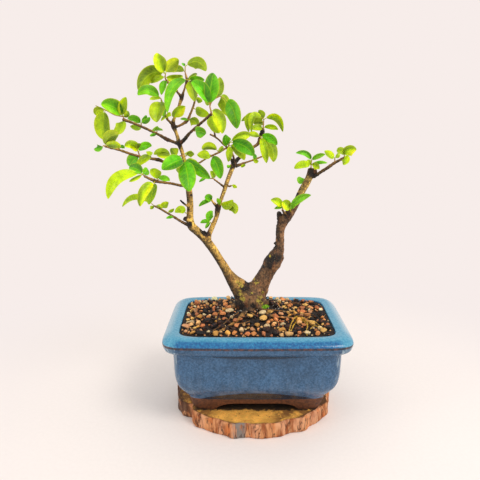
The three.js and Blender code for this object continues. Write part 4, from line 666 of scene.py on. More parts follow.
# The leafy pieces' material slots
UPPER, UNDER, STALK = 0, 1, 2


def leaf_profile(share):
    t = share ** 0.9
    return (4 * t * (1 - t)) ** 0.72


def shaded(tone, factor):
    """A darker leaf colour, or a brighter one that also turns yellow"""
    warm = max(0, factor - 1) * 36
    strength = 0.5 if factor > 1 else 1.1
    return lighten((tone[0] + warm, tone[1], tone[2]), 1 + (factor - 1) * strength)


def quadratic(start, control, tip, t):
    return start * (1 - t) ** 2 + control * 2 * t * (1 - t) + tip * t * t


def leaf_faces():
    """A blade's upper and under faces, on two grids of points that its foot and tip follow"""
    count = 2 * LEAF_COLUMNS + 1
    grid = LEAF_ROWS * count
    foot, tip = 2 * grid, 2 * grid + 1

    def under(r, c):
        """The margin's points are shared by both sides"""
        return r * count + c + (0 if c in (0, count - 1) else grid)

    upper_faces, under_faces = [], []
    last = LEAF_ROWS - 1
    for c in range(count - 1):
        for r in range(last):
            a = r * count + c
            upper_faces.append((a, a + 1, a + 1 + count, a + count))
            under_faces.append((under(r, c), under(r + 1, c), under(r + 1, c + 1), under(r, c + 1)))
        a = last * count + c
        upper_faces += [(foot, c + 1, c), (a, a + 1, tip)]
        under_faces += [
            (foot, under(0, c), under(0, c + 1)), (under(last, c), tip, under(last, c + 1)),
        ]
    return upper_faces, under_faces


def leaf_skins(draw, curve, half, turn, upper_seen, lit_half, lit_tip):
    """The points of both sides with their places on the blade and shades, and where it faces"""
    base, control, tip = curve
    wave, ripple = draw.uniform(0, math.tau), draw.uniform(0.03, 0.1)
    crease = math.sin(math.radians(BLADE_FOLD)) * draw.uniform(0.9, 2.1)
    columns = [c / LEAF_COLUMNS for c in range(-LEAF_COLUMNS, LEAF_COLUMNS + 1)]
    top, bottom, places, shades = [], [], [], []
    facing = Vector()
    for r in range(LEAF_ROWS):
        share = PETIOLE + (1 - PETIOLE) * (r + 0.6) / (LEAF_ROWS + 0.2)
        centre = quadratic(*curve, share)
        along = ((control - base) * (1 - share) + (tip - control) * share).normalized()
        sight = (centre - EYE).normalized()
        across = (Matrix.Rotation(turn, 3, along) @ along.cross(sight)).normalized()
        face = across.cross(along)
        if (face.dot(sight) > 0) == upper_seen:
            face.negate()
        facing += face
        inner = (share - PETIOLE) / (1 - PETIOLE)
        reach = half * leaf_profile(inner)
        for column in columns:
            out = abs(column)
            fold = crease * (1.75 * out - 0.75 * out * out)
            margin = ripple * math.sin(wave + share * 11 + (2 if column > 0 else 0)) * out ** 3
            pucker = 0.03 * math.sin(math.tau * (inner * 5 - out)) * out * (1 - out)
            point = centre + across * reach * column * math.cos(math.radians(BLADE_FOLD))
            point += face * reach * (fold + margin + pucker)
            thick = LEAF_THICKNESS * (1 - out * out) * (1 - 0.5 * inner) / 2
            top.append(point + face * thick)
            bottom.append(point - face * thick)
            places.append(((column + 1) / 2, inner))
            side = lit_half * max(-1, min(1, column * 2.5)) + lit_tip * (2 * inner - 1)
            shades.append(1 + side)
    points = top + bottom + [quadratic(*curve, PETIOLE), tip]
    places = places * 2 + [(0.5, 0), (0.5, 1)]
    return points, places, shades * 2 + [1 - lit_tip, 1 + lit_tip], facing


def leaf(shape, draw, base_row, row):
    """One folded, arched blade with a short stalk, from a shoot's joint to the leaf's tip"""
    _, x, z, y, width, bow_x, bow_z, turn_degrees, tone = row
    turn = math.radians(turn_degrees)
    upper_seen = turn_degrees < EDGE_ON
    length = math.dist((x, z, y), base_row)
    lift = (-BLADE_ARCH if upper_seen else BLADE_ARCH) * length
    base, tip = place(base_row), place((x, z, y))
    middle = place((
        (base_row[0] + x) / 2 + bow_x, (base_row[1] + z) / 2 + bow_z, (base_row[2] + y) / 2 + lift,
    ))
    curve = (base, middle * 2 - base * 0.5 - tip * 0.5, tip)
    half = 0.5 * width * depth_scale(y) / max(abs(math.cos(turn)), LEAST_COSINE)
    upper, under = LEAF_TONES[tone]
    glow = draw.uniform(0.84, 1.08)
    lit_half, lit_tip = draw.uniform(-0.3, 0.3), draw.uniform(-0.16, 0.2)
    yellowing = draw.uniform(0, 0.3)
    upper = lighten(blend_tones(upper, LEAF_TONES["y"][0], yellowing), glow)
    under = lighten(blend_tones(under, LEAF_TONES["y"][1], yellowing * 0.6), glow)
    skins = leaf_skins(draw, curve, half, turn, upper_seen, lit_half, lit_tip)
    add_blade(shape, skins, upper, under)
    stalk_tone = blend_tones(LEAF_TONES["y"][1], WOOD_TONES["young_red"], draw.uniform(0, 0.5))
    centres = [quadratic(*curve, share) for share in (0, 0.04, 0.08, 0.12)]
    radii = [MIDRIB_RADIUS * taper for taper in STALK_TAPER]
    add_stalk(shape, centres, radii, [stalk_tone] * len(radii))


def add_blade(shape, skins, upper, under):
    """A blade's faces in their tones, without the under side's spare points at the margin"""
    points, places, shades, facing = skins
    upper_faces, under_faces = leaf_faces()
    a, b, c = (points[i] for i in upper_faces[0][:3])
    if (b - a).cross(c - b).dot(facing) < 0:
        upper_faces = [face[::-1] for face in upper_faces]
        under_faces = [face[::-1] for face in under_faces]
    tones = [[shaded(upper, shades[i]) for i in face] for face in upper_faces]
    tones += [[shaded(under, shades[i]) for i in face] for face in under_faces]
    faces = upper_faces + under_faces
    used = sorted({i for face in faces for i in face})
    number = {old: new for new, old in enumerate(used)}
    start = shape.add(
        [points[i] for i in used], [[number[i] for i in face] for face in faces], tones,
        [places[i] for i in used], [UPPER] * len(upper_faces) + [UNDER] * len(under_faces),
    )
    count = 2 * LEAF_COLUMNS + 1
    foot = len(points) - 2
    for c in (0, count - 1):
        rim = [foot, *[r * count + c for r in range(LEAF_ROWS)], foot + 1]
        for p, q in zip(rim, rim[1:]):
            shape.sharp.add(tuple(sorted((start + number[p], start + number[q]))))


def add_stalk(shape, centres, radii, tones):
    begin = len(shape.faces)
    add_tube(shape, centres, radii, tones, STALK_SIDES)
    for n in range(begin, len(shape.faces)):
        shape.slots[n] = STALK


def add_shoot(shape, draw, joints, leaves):
    """A green shoot's stem and its leaves"""
    rows = smooth_rows(joints, 4)
    centres = [place(row) for row in rows]
    last = len(rows) - 1
    radii = [SHOOT_RADIUS - SHOOT_TAPER * i / last for i in range(last + 1)]
    tones = [
        blend_tones(WOOD_TONES["young_red"], WOOD_TONES["young"], i / last) for i in range(last + 1)
    ]
    add_stalk(shape, centres, radii, tones)
    for row in leaves:
        leaf(shape, draw, joints[row[0]], row)


def add_twig(shape, rows):
    """A woody twig with swollen nodes and dark scars"""
    rows = smooth_rows(rows, 8)
    centres = [place(row) for row in rows]
    radii, tones = [], []
    last = len(rows) - 1
    for i, row in enumerate(rows):
        ring = 0.07 * math.sin(i * 1.9) + 0.09 * max(0, math.sin(i * 0.55)) ** 6
        radii.append(row[3] * depth_scale(row[2]) * (1 + ring))
        tone = blend_tones(WOOD_TONES["twig"], WOOD_TONES["twig_end"], i / last)
        dark = max(closeness(centres[i], DARK_KNOTS), 0.8 * max(0, 1 - i / 6))
        swollen = clamp((row[3] - 1.32) * 2.2)
        tones.append(blend_tones(tone, WOOD_TONES["knot"], min(1, max(dark, swollen) * 1.2)))
    add_tube(shape, centres, radii, tones, TWIG_SIDES, roughen=0.22, grain=1.1, bark=True)


def leafy_stems(materials):
    for number, (name, (twigs, shoots)) in enumerate(LEAFY_STEMS.items()):
        draw = random.Random(number)
        leaves = Shape()
        for joints, rows in shoots:
            add_shoot(leaves, draw, joints, rows)
        surfaces = [materials["leaf_upper"], materials["leaf_under"], materials["stalk"]]
        piece = leaves.build(f"{name}_leaves", surfaces, "leaf")
        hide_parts(name)
        if twigs:
            wood = Shape()
            for rows in twigs:
                add_twig(wood, rows)
            wood.build(f"{name}_twigs", [materials["bark"]], "bark")


# Trunk and roots

WOOD_VOXEL = 0.55
LIMB_SIDES = 24
ROOT_SIDES = 16
THINNEST_LIMB = 0.5
THINNEST_ROOT = 0.6
ROOT_FADE = 14


def limb_tone(name, row):
    """The bark's colour along a limb, before knots and lichen"""
    z = row[1]
    if name in ("base", "forkStub"):
        return WOOD_TONES["base"]
    if name in ("left", "leftKnob", "deadTwig"):
        return blend_tones(WOOD_TONES["left_low"], WOOD_TONES["left"], clamp((z - 108) / 40))
    if name in ("right", "rightBump", "cutStub", "rightKnob"):
        rise = clamp((z - 186) / 14)
        return blend_tones(WOOD_TONES["right"], WOOD_TONES["right_high"], rise)
    return WOOD_TONES["middle"]


def knobbliness(point):
    """How far the bark's lumps stand out, in millimetres, by height and limb"""
    x, z = as_seen(point)
    base = max(0, 1 - abs(z - 100) / 16)
    old = max(0.25, min(1, (192 - z) / 20)) if x > 0 else 0
    return 0.14 + 0.75 * base + 0.4 * old


def add_limbs(raw):
    """Adds every limb as a tube, and gives its middle line's points with their tones"""
    samples = []
    for name, rows in TRUNK_LIMBS.items():
        fine = smooth_rows(rows, 6)
        centres = [place(row) for row in fine]
        radii = [max(row[3], THINNEST_LIMB) * depth_scale(row[2]) for row in fine]
        tones = [limb_tone(name, row) for row in fine]
        add_tube(raw, centres, radii, tones, LIMB_SIDES)
        samples += zip(centres, tones)
    return samples


def add_roots(raw):
    """The same for the surface roots, whose tones fade into the trunk's base"""
    samples = []
    middle = Vector((MOUND["x"], MOUND["y"], 0))
    for name, rows in ROOTS.items():
        fine = smooth_rows(rows, 6)
        centres = [Vector((x, y, soil_top(x, y) + lift)) for x, y, lift, _ in fine]
        radii = [max(row[3], THINNEST_ROOT) for row in fine]
        tone = WOOD_TONES["thin_root" if name.startswith("thin") else "root"]
        add_tube(raw, centres, radii, [tone] * len(fine), ROOT_SIDES)
        for centre in centres:
            far = clamp(((centre - middle).xy.length - ROOT_FADE) / ROOT_FADE)
            samples.append((centre, blend_tones(WOOD_TONES["base"], tone, far)))
    return samples


def weather_and_shade_wood(mesh, samples):
    """Lumps and scars on the wood, its tones from the nearest sample with painted light and shade,
    and where lichen grows
    """
    tree = kdtree.KDTree(len(samples))
    for i, (centre, _) in enumerate(samples):
        tree.insert(centre, i)
    tree.balance()
    tints, lichens = [], []
    for vertex in mesh.vertices:
        point = vertex.co / MM
        centre, tone = samples[tree.find(point)[1]]
        coarse = noise.noise(point / 5.5)
        fine = noise.noise(point / 1.7)
        pitted = abs(noise.noise(point / 3))
        away = (point - centre).normalized()
        lump = knobbliness(point) * (0.75 * coarse + 0.45 * fine - 0.25 * pitted)
        x, z = as_seen(point)
        for a, b, reach, height in LUMPS:
            near = max(0, 1 - ((x - a) ** 2 + (z - b) ** 2) / reach ** 2)
            lump += height * near * near
        vertex.co += away * lump * MM
        # Painted light and shade by the side that each point faces
        tone = weathered_and_painted_light(tone, away.dot(PAINTED_LIGHT_SIDE) + 0.3 * coarse + 0.2 * fine)
        dark = closeness(point, DARK_KNOTS)
        shade = 1 + 0.3 * noise.noise(point / 9 + Vector((7, 0, 0))) + 0.25 * fine
        patch = clamp(dark * 2 + 0.8 * noise.noise(point / 2.2) * (dark > 0))
        tone = blend_tones(lighten(tone, shade), WOOD_TONES["knot"], patch)
        tints.extend(linear([max(v, 4) for v in tone]))
        growth = closeness(point, LICHEN)
        growth = (growth * 1.6 - 0.55 + 1.7 * noise.noise(point / 1.1)) if growth > 0 else 0
        lichens.append(clamp(growth * 2))
    tint = mesh.attributes.new("tint", "FLOAT_COLOR", "POINT")
    tint.data.foreach_set("color", tints)
    lichen = mesh.attributes.new("lichen", "FLOAT", "POINT")
    lichen.data.foreach_set("value", lichens)


def trunk(materials):
    raw = Shape()
    samples = add_limbs(raw) + add_roots(raw)
    piece = raw.build("trunk_wood", [materials["bark"]], "bark")
    remesh = piece.modifiers.new("join", "REMESH")
    remesh.mode = "VOXEL"
    remesh.voxel_size = WOOD_VOXEL * MM
    relax = piece.modifiers.new("relax", "SMOOTH")
    relax.factor = 0.5
    relax.iterations = 3
    mesh = applied(piece)
    weather_and_shade_wood(mesh, samples)
    mesh.polygons.foreach_set("use_smooth", [True] * len(mesh.polygons))
    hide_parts("trunk_and_roots")


def applied(piece):
    """The piece's mesh with its modifiers applied, and without the tones that they garble"""
    graph = bpy.context.evaluated_depsgraph_get()
    graph.update()
    mesh = bpy.data.meshes.new_from_object(piece.evaluated_get(graph), depsgraph=graph)
    old = piece.data
    piece.modifiers.clear()
    piece.data = mesh
    mesh.name = piece.name
    bpy.data.meshes.remove(old)
    for extra in ("tint", "blade"):
        if extra in mesh.attributes:
            mesh.attributes.remove(mesh.attributes[extra])
    return mesh


# Pot

POT_CORNERS = 192
POT_STEPS = 6
POT_INNER_STEPS = 3
POT_SHARP_DEGREES = 40
PASSAGE_REACH = 90
ARCH_STEPS = 12
BORE_SIDES = 32


def pot_ring(z, half_width, count, power=CORNER_POWER):
    """A rounded rectangle, with more points at the corners than along the sides"""
    ring = []
    for i in range(count):
        even = (i + 0.5) / count * math.tau
        angle = even + 0.13 * math.sin(4 * even)
        c, s = math.cos(angle), math.sin(angle)
        reach = (abs(c) ** power + abs(s) ** power) ** (-1 / power)
        across, deep = c * reach, s * reach
        half_depth = half_width - DEPTH_INSET - SIDE_BOW * across * across
        ring.append(Vector((half_width * across, half_depth * deep, z)))
    return ring


def prism(name, rings, flipped=False):
    """A closed prism between two rings, which cuts the pot"""
    count = len(rings[0])
    faces = bridge(rings) + [tuple(reversed(range(count))), tuple(range(count, 2 * count))]
    if flipped:
        faces = [face[::-1] for face in faces]
    return new_object(name, new_mesh(name, rings[0] + rings[1], faces))


def passage(name, half_gap, rise, quarter_turn):
    """The arched space between the feet as a long closed prism"""
    shoulder = half_gap - rise * (1 - FOOT_GAP["fullness"])
    right = [(half_gap, POT_FOOT - 5)]
    for i in range(ARCH_STEPS + 1):
        t = i / ARCH_STEPS
        right.append((
            half_gap * (1 - t) ** 2 + shoulder * 2 * t * (1 - t) + (half_gap - rise) * t * t,
            POT_FOOT * (1 - t) ** 2 + POT_UNDERSIDE * (2 * t * (1 - t) + t * t),
        ))
    outline = right + [(-x, z) for x, z in reversed(right)]
    rings = []
    for y in (-PASSAGE_REACH, PASSAGE_REACH):
        ring = [Vector((x, y, z)) for x, z in outline]
        if quarter_turn:
            ring = [Vector((-p.y, p.x, p.z)) for p in ring]
        rings.append(ring)
    return prism(name, rings, flipped=True)


def drain_bore(name, x):
    heights = (POT_FLOOR - 12, POT_FLOOR + 8)
    return prism(name, [circle(x, z, DRAIN_HOLE["radius"], BORE_SIDES) for z in heights])


def pot(materials):
    profile = smooth_rows(POT_OUTSIDE, POT_STEPS) + smooth_rows(POT_INSIDE, POT_INNER_STEPS)
    rings = [pot_ring(z, half, POT_CORNERS) for z, half in profile]
    rings = [[Vector((0, 0, POT_FOOT))], *rings, [Vector((0, 0, POT_FLOOR))]]
    shape = Shape()
    shape.add_rings(rings, BASE_TONES["pot"])
    piece = shape.build("glazed_pot", [materials["glaze"]], "glaze")
    tools = [
        passage("front_passage", FOOT_GAP["half_width"], FOOT_GAP["rise"], False),
        passage("side_passage", FOOT_GAP["half_depth"], FOOT_GAP["rise"] / 2, True),
        drain_bore("left_bore", -DRAIN_HOLE["x"]),
        drain_bore("right_bore", DRAIN_HOLE["x"]),
    ]
    for tool in tools:
        cut = piece.modifiers.new(tool.name, "BOOLEAN")
        cut.operation = "DIFFERENCE"
        cut.solver = "EXACT"
        cut.object = tool
    mesh = applied(piece)
    for tool in tools:
        bpy.data.objects.remove(tool)
    mesh.polygons.foreach_set("use_smooth", [True] * len(mesh.polygons))
    mesh.set_sharp_from_angle(angle=math.radians(POT_SHARP_DEGREES))
    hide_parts("pot")


# Soil, stones, chips, roots and moss

SOIL_SIDES = 160
SOIL_RINGS = 34
STONE_CUTS = 9
# The middle of the trunk's foot, and how far from it the loose pieces begin
FOOT_SPOT = (-6, 14)
FOOT_CLEARANCE = 15
# How often the faces of a coarse stone's ball are divided
COARSE = 2
# Stones: smallest and largest size, tries, how often the ball is divided, and, as shares of the
# size, the spacing and how far the middle lies above the soil
STONE_SIZES = [
    (5.2, 8.4, 560, COARSE, 0.42, 0.24), (3.2, 5.2, 1100, COARSE, 0.42, 0.32),
    (1.2, 2.8, 1600, 1, 0.4, 0.35),
]
# A bark chip's cross-section: across, up
CHIP_SECTION = [(1, 0), (0.3, 0.35), (-0.8, 0.2), (-1, -0.1), (0, -0.35)]


def soil(materials):
    wall = [(z, w - 0.3) for z, w in reversed(POT_INSIDE) if SOIL_BOTTOM < z < SOIL_EDGE]
    rings = [pot_ring(SOIL_BOTTOM, SOIL_FOOT, SOIL_SIDES)]
    rings += [pot_ring(z, w, SOIL_SIDES) for z, w in wall]
    for r in range(SOIL_RINGS, 0, -1):
        share = r / SOIL_RINGS
        ring = []
        for p in pot_ring(0, SOIL_RIM, SOIL_SIDES, CORNER_POWER * share + 2 * (1 - share)):
            x, y = p.x * share, p.y * share
            rough = 1.3 * noise.noise(Vector((x, y, 3)) / 4)
            rough += 0.6 * noise.noise(Vector((x, y, 9)) / 1.6)
            ring.append(Vector((x, y, soil_top(x, y) + rough * min(1, (1 - share) * 8) - 0.4)))
        rings.append(ring)
    rings = [[Vector((0, 0, SOIL_BOTTOM))], *rings, [Vector((0, 0, soil_top(0, 0)))]]
    shape = Shape()
    shape.add_rings(rings, BASE_TONES["soil"])
    piece = shape.build("potting_soil", [materials["soil"]], "soil")
    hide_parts("soil")


def ball_points(level):
    """A ball's points and faces, from an icosahedron whose faces are divided level times"""
    golden = (1 + math.sqrt(5)) / 2
    corners = [
        Vector((a, b * golden, 0)).normalized() for b in (1, -1) for a in (-1, 1)
    ]
    points = list(corners)
    points += [Vector((0, p.x, p.y)).normalized() for p in corners]
    points += [Vector((p.y, 0, p.x)).normalized() for p in corners]
    faces = hull_faces(points)
    for _ in range(level):
        middles, divided = {}, []
        for a, b, c in faces:
            mid = []
            for p, q in ((a, b), (b, c), (c, a)):
                key = (min(p, q), max(p, q))
                if key not in middles:
                    middles[key] = len(points)
                    points.append((points[p] + points[q]).normalized())
                mid.append(middles[key])
            divided += [(a, mid[0], mid[2]), (b, mid[1], mid[0]), (c, mid[2], mid[1]), tuple(mid)]
        faces = divided
    return points, faces


def hull_faces(points):
    """The triangles between an icosahedron's twelve points, facing out"""
    edge = min((p - points[0]).length for p in points[1:]) * 1.01
    faces = []
    count = len(points)
    for a in range(count):
        for b in range(a + 1, count):
            for c in range(b + 1, count):
                p, q, r = points[a], points[b], points[c]
                if max((p - q).length, (q - r).length, (r - p).length) < edge:
                    out = (q - p).cross(r - p).dot(p + q + r) > 0
                    faces.append((a, b, c) if out else (a, c, b))
    return faces


def add_stone(shape, draw, ball, centre, size, tone):
    """An angular stone: a ball cut back by random planes and roughened"""
    points, faces = ball
    turn = Matrix.Rotation(draw.uniform(0, math.tau), 3, Vector((0, 0, 1)))
    tilt = Matrix.Rotation(draw.uniform(-0.6, 0.6), 3, Vector((1, 0, 0)))
    stretch = Vector((draw.uniform(0.8, 1.15), draw.uniform(0.7, 1), draw.uniform(0.55, 0.85)))
    cuts = []
    for _ in range(STONE_CUTS):
        away = Vector((draw.gauss(0, 1), draw.gauss(0, 1), draw.gauss(0, 1))).normalized()
        cuts.append((away, draw.uniform(0.42, 0.75)))
    seed = Vector((draw.uniform(0, 99), draw.uniform(0, 99), 0))
    placed = []
    for p in points:
        q = p.copy()
        for away, reach in cuts:
            over = q.dot(away) - reach
            if over > 0:
                q -= away * over * 0.95
        q *= 1 + 0.1 * noise.noise(p * 2 + seed)
        q = Vector((q.x * stretch.x, q.y * stretch.y, q.z * stretch.z))
        placed.append(centre + turn @ (tilt @ (q * size / 2)))
    shape.add(placed, faces, tone)


def inside_soil(x, y, margin):
    half_x = SOIL_RIM - margin
    half_y = SOIL_RIM - DEPTH_INSET - margin
    return abs(x / half_x) ** 8 + abs(y / half_y) ** 8 < 1


def near_trunk(x, y):
    return math.dist((x, y), FOOT_SPOT)


# Where the photographed soil shows few stones: x, y, half width, half depth
BARE_PATCHES = [
    (12, -30, 9, 14), (-16, -6, 13, 9), (20, 6, 16, 8), (30, -22, 9, 12), (-40, -30, 12, 8),
    (50, -24, 10, 10), (-30, 32, 18, 7), (56, 6, 8, 18), (14, 36, 30, 7), (-3, -16, 8, 14),
]


def bareness(x, y):
    return max(max(0, 1 - math.hypot((x - a) / w, (y - b) / d)) for a, b, w, d in BARE_PATCHES)


def gravel(materials):
    draw = random.Random(SEEDS["gravel"])
    coarse, fine = Shape(), Shape()
    placed = []
    for low, high, tries, level, spacing, lift in STONE_SIZES:
        shape = coarse if level == COARSE else fine
        ball = ball_points(level)
        for _ in range(tries):
            x, y = draw.uniform(-66, 66), draw.uniform(-47, 47)
            size = draw.uniform(low, high)
            away = near_trunk(x, y)
            if not inside_soil(x, y, size * 0.5 + 0.6) or away < FOOT_CLEARANCE + size * 0.5:
                continue
            crowd = 1.25 * bareness(x, y) + max(0, 1 - (away - FOOT_CLEARANCE) / 10) * 0.85
            if draw.random() < crowd:
                continue
            if any(math.hypot(x - a, y - b) < spacing * (size + s) for a, b, s in placed):
                continue
            placed.append((x, y, size))
            centre = Vector((x, y, soil_top(x, y) + size * lift))
            dark = draw.random() < 0.16 + 0.5 * bareness(x, y)
            tone = draw.choice(DARK_TONES if dark else STONE_TONES)
            tone = lighten(tone, draw.uniform(0.85, 1.12))
            add_stone(shape, draw, ball, centre, size, tone)
    coarse.build("gravel", [materials["stone"]], "soil")
    fine.build("grit", [materials["stone"]], "soil")


def chips(materials):
    """Flat chips of dark bark and needle-like bits between the stones"""
    draw = random.Random(SEEDS["chips"])
    shape = Shape()
    for _ in range(150):
        x, y = draw.uniform(-62, 62), draw.uniform(-43, 43)
        if not inside_soil(x, y, 4) or near_trunk(x, y) < FOOT_CLEARANCE:
            continue
        length, width = draw.uniform(3, 8.5), draw.uniform(0.9, 2.8)
        heading = draw.uniform(0, math.tau)
        along = Vector((math.cos(heading), math.sin(heading), draw.uniform(-0.25, 0.25)))
        across = along.cross(Vector((0, 0, 1))).normalized()
        up = across.cross(along).normalized()
        centre = Vector((x, y, soil_top(x, y) + draw.uniform(0.9, 2.2)))
        rings = []
        for s in (-0.5, -0.2, 0.15, 0.5):
            half = width * 0.5 * (1 - 1.2 * abs(s) ** 2) * draw.uniform(0.75, 1.1)
            middle = centre + along * length * s + up * draw.uniform(-0.2, 0.2)
            rings.append([middle + across * half * a + up * b for a, b in CHIP_SECTION])
        ends = [[ring[0].lerp(ring[3], 0.5)] for ring in (rings[0], rings[-1])]
        shape.add_rings([ends[0], *rings, ends[1]], draw.choice(CHIP_TONES))
    shape.build("bark_chips", [materials["chip"]], "soil", smooth=False)


def perlite(materials):
    """White grains in front of the trunk's foot"""
    draw = random.Random(SEEDS["perlite"])
    shape = Shape()
    ball = ball_points(1)
    for _ in range(70):
        angle, reach = draw.uniform(math.pi, math.tau), draw.uniform(15, 27)
        x = FOOT_SPOT[0] + reach * math.cos(angle) * 1.3
        y = FOOT_SPOT[1] + reach * math.sin(angle)
        size = draw.uniform(0.5, 1.5)
        centre = Vector((x, y, soil_top(x, y) + draw.uniform(0.4, 1.6)))
        add_stone(shape, draw, ball, centre, size, PERLITE_TONE)
    shape.build("perlite", [materials["stone"]], "soil")


THICK_ROOT = 0.62
THIN_ROOT = 0.4
# Fine loose roots on the soil: radius, whether yellow, and x, y, height above the soil
LOOSE_ROOTS = [
    (THICK_ROOT, True, [(37, -8, 2), (34, -14, 4), (31, -22, 4), (28.5, -30, 3.4), (26.5, -38, 2),
     (26, -43, 0.6)]),
    (THICK_ROOT, True, [(38, -8, 2), (41, -14, 4), (43.5, -22, 4), (43, -30, 3.6), (41, -38, 2.2),
     (41, -43, 0.6)]),
    (THIN_ROOT, False, [(6, -2, 3), (16, -3, 3.8), (27, -4, 4), (37, -8, 3.4), (47, -4, 3.6),
     (55, -1, 1.5)]),
    (THIN_ROOT, True, [(40, -16, 3), (46, -21, 3.6), (51, -20, 3), (55, -25, 1.2)]),
    (THIN_ROOT, True, [(45, -33, 2), (49, -29, 3.4), (54, -31, 2.6), (58, -36, 1)]),
    (THIN_ROOT, False, [(-16, -8, 3), (-22, -15, 3.6), (-27, -23, 3.2), (-33, -31, 2.6),
     (-40, -38, 1)]),
    (THIN_ROOT, False, [(-6, -20, 2), (-12, -25, 3), (-20, -27, 3), (-27, -33, 1.6)]),
    (THIN_ROOT, False, [(28, 20, 2), (38, 24, 3.4), (46, 20, 3), (52, 22, 1.4)]),
    (THIN_ROOT, False, [(-8, -6, 3), (-12, -14, 3.4), (-18, -22, 2.6)]),
]


def loose_roots(materials):
    draw = random.Random(SEEDS["loose_roots"])
    shape = Shape()
    for thick, yellow, rows in LOOSE_ROOTS:
        fine = smooth_rows(rows, 8)
        centres = [
            Vector((x + draw.uniform(-0.25, 0.25), y, soil_top(x, y) + lift)) for x, y, lift in fine
        ]
        last = len(fine) - 1
        radii = [thick * (1 - 0.5 * i / last) for i in range(last + 1)]
        tone = WOOD_TONES["thin_root"] if yellow else BROWN_ROOT_TONE
        add_tube(shape, centres, radii, [tone] * (last + 1), 8, roughen=0.3, grain=0.9)
    shape.build("loose_roots", [materials["bark"]], "bark")


# Moss: x, y, reach and number of leaves of each tuft, and a leaf's radius from its foot to its tip
MOSS_TUFTS = [(7, 7, 3.2, 90), (10, 9.5, 2, 34), (4.5, 3.5, 1.6, 24)]
MOSS_RADII = [0.34, 0.42, 0.3, 0.1]


def moss(materials):
    """Short pointed leaves standing in small tufts beside the trunk's foot"""
    draw = random.Random(SEEDS["moss"])
    shape = Shape()
    for x, y, reach, count in MOSS_TUFTS:
        for _ in range(count):
            a, r = draw.uniform(0, math.tau), reach * math.sqrt(draw.random())
            root = Vector((x + r * math.cos(a), y + r * math.sin(a), 0))
            root.z = soil_top(root.x, root.y) - 0.2
            lean = Vector((draw.uniform(-0.6, 0.6), draw.uniform(-0.6, 0.6), 1)).normalized()
            length = draw.uniform(1.2, 2.8)
            steps = [root + lean * length * s for s in (0, 0.35, 0.7, 1)]
            add_tube(shape, steps, MOSS_RADII, [draw.choice(MOSS_TONES)] * len(steps), 5)
    shape.build("moss", [materials["moss"]], "leaf")


# Wood slice

SLICE_SIDES = 540
SLICE_SHARP_DEGREES = 50
# The slice's side: height, how far it lies inside the bark's edge
SLICE_SIDE = [
    (0, 1.4), (0.5, 0.7), (1.4, 0.3), (3, 0.3), (4.5, 0.4), (6, 0.4), (7.5, 0.3), (9, 0.2),
    (10.5, 0.1), (12, 0.1), (13, 0.3), (SLICE_TOP - 0.15, 0.8),
]
# The sawn face's rim: the same inset, drop below the top, and how far the bark's relief shows
SLICE_RIM = [(1.6, 0, 0.8), (2.6, 0.25, 0.5), (3.4, 0.1, 0.3)]


def bark_edge(angle, z):
    waves = sum(h * math.sin(n * angle + start + lean * z) for h, n, start, lean in BARK_WAVES)
    lumps = sum(h * math.exp(-((angle - at) / reach) ** 2) for h, at, reach in BARK_LUMPS)
    return waves + lumps


def flake(angle, z):
    """Fine upright ridges and flakes of the bark"""
    around = Vector((math.cos(angle), math.sin(angle), 0))
    wide = noise.noise(around * 7 + Vector((0, 0, z * 0.03)))
    narrow = noise.noise(around * 26 + Vector((0, 0, z * 0.05 + 5)))
    step = math.floor(3 * noise.noise(around * 14 + Vector((3, 0, z * 0.06)))) / 3
    crack = -1.3 * max(0, 1 - abs(noise.noise(around * 17 + Vector((0, 9, z * 0.04)))) * 9)
    return 0.2 * wide + 0.22 * narrow + 0.35 * step + 0.4 * crack


def slice_ring(z, inset, share=1.0, relief=1.0):
    ring = []
    for i in range(SLICE_SIDES):
        angle = (i + 0.5) / SLICE_SIDES * math.tau - math.pi
        out = bark_edge(angle, z) - inset + relief * flake(angle, z)
        ring.append(Vector((
            SLICE["x"] + (SLICE["half_width"] + out) * share * math.cos(angle),
            SLICE["y"] + (SLICE["half_depth"] + out) * share * math.sin(angle),
            z,
        )))
    return ring


def wood_slice(materials):
    top = []
    for inset, drop, relief in SLICE_RIM:
        ring = slice_ring(SLICE_TOP, inset, 1, relief)
        top.append([Vector((p.x, p.y, SLICE_TOP - drop)) for p in ring])
    for share in (0.9, 0.82, 0.72, 0.6, 0.45, 0.3, 0.15):
        ring = slice_ring(SLICE_TOP, SLICE_RIM[-1][0], share, 0.3 * share)
        for p in ring:
            p.z = SLICE_TOP - 0.12 + 0.1 * noise.noise(p / 6)
        top.append(ring)
    under = [slice_ring(0, 3, share, 0.3) for share in (0.2, 0.6, 0.97)]
    side = [slice_ring(z, inset) for z, inset in SLICE_SIDE]
    foot, head = (Vector((SLICE["x"], SLICE["y"], z)) for z in (0, SLICE_TOP - 0.1))
    rings = [[foot], *under, *side, *top, [head]]
    slots = []
    for r in range(len(rings) - 1):
        bark = 1 + len(under) <= r <= len(under) + len(side)
        slots += [0 if bark else 1] * SLICE_SIDES
    shape = Shape()
    shape.add_rings(rings, BASE_TONES["slice"], slots)
    finishes = [materials["slice_bark"], materials["slice_top"]]
    piece = shape.build("slice_of_wood", finishes, "slice_wood")
    piece.data.set_sharp_from_angle(angle=math.radians(SLICE_SHARP_DEGREES))
    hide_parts("wood_slice")


# Materials

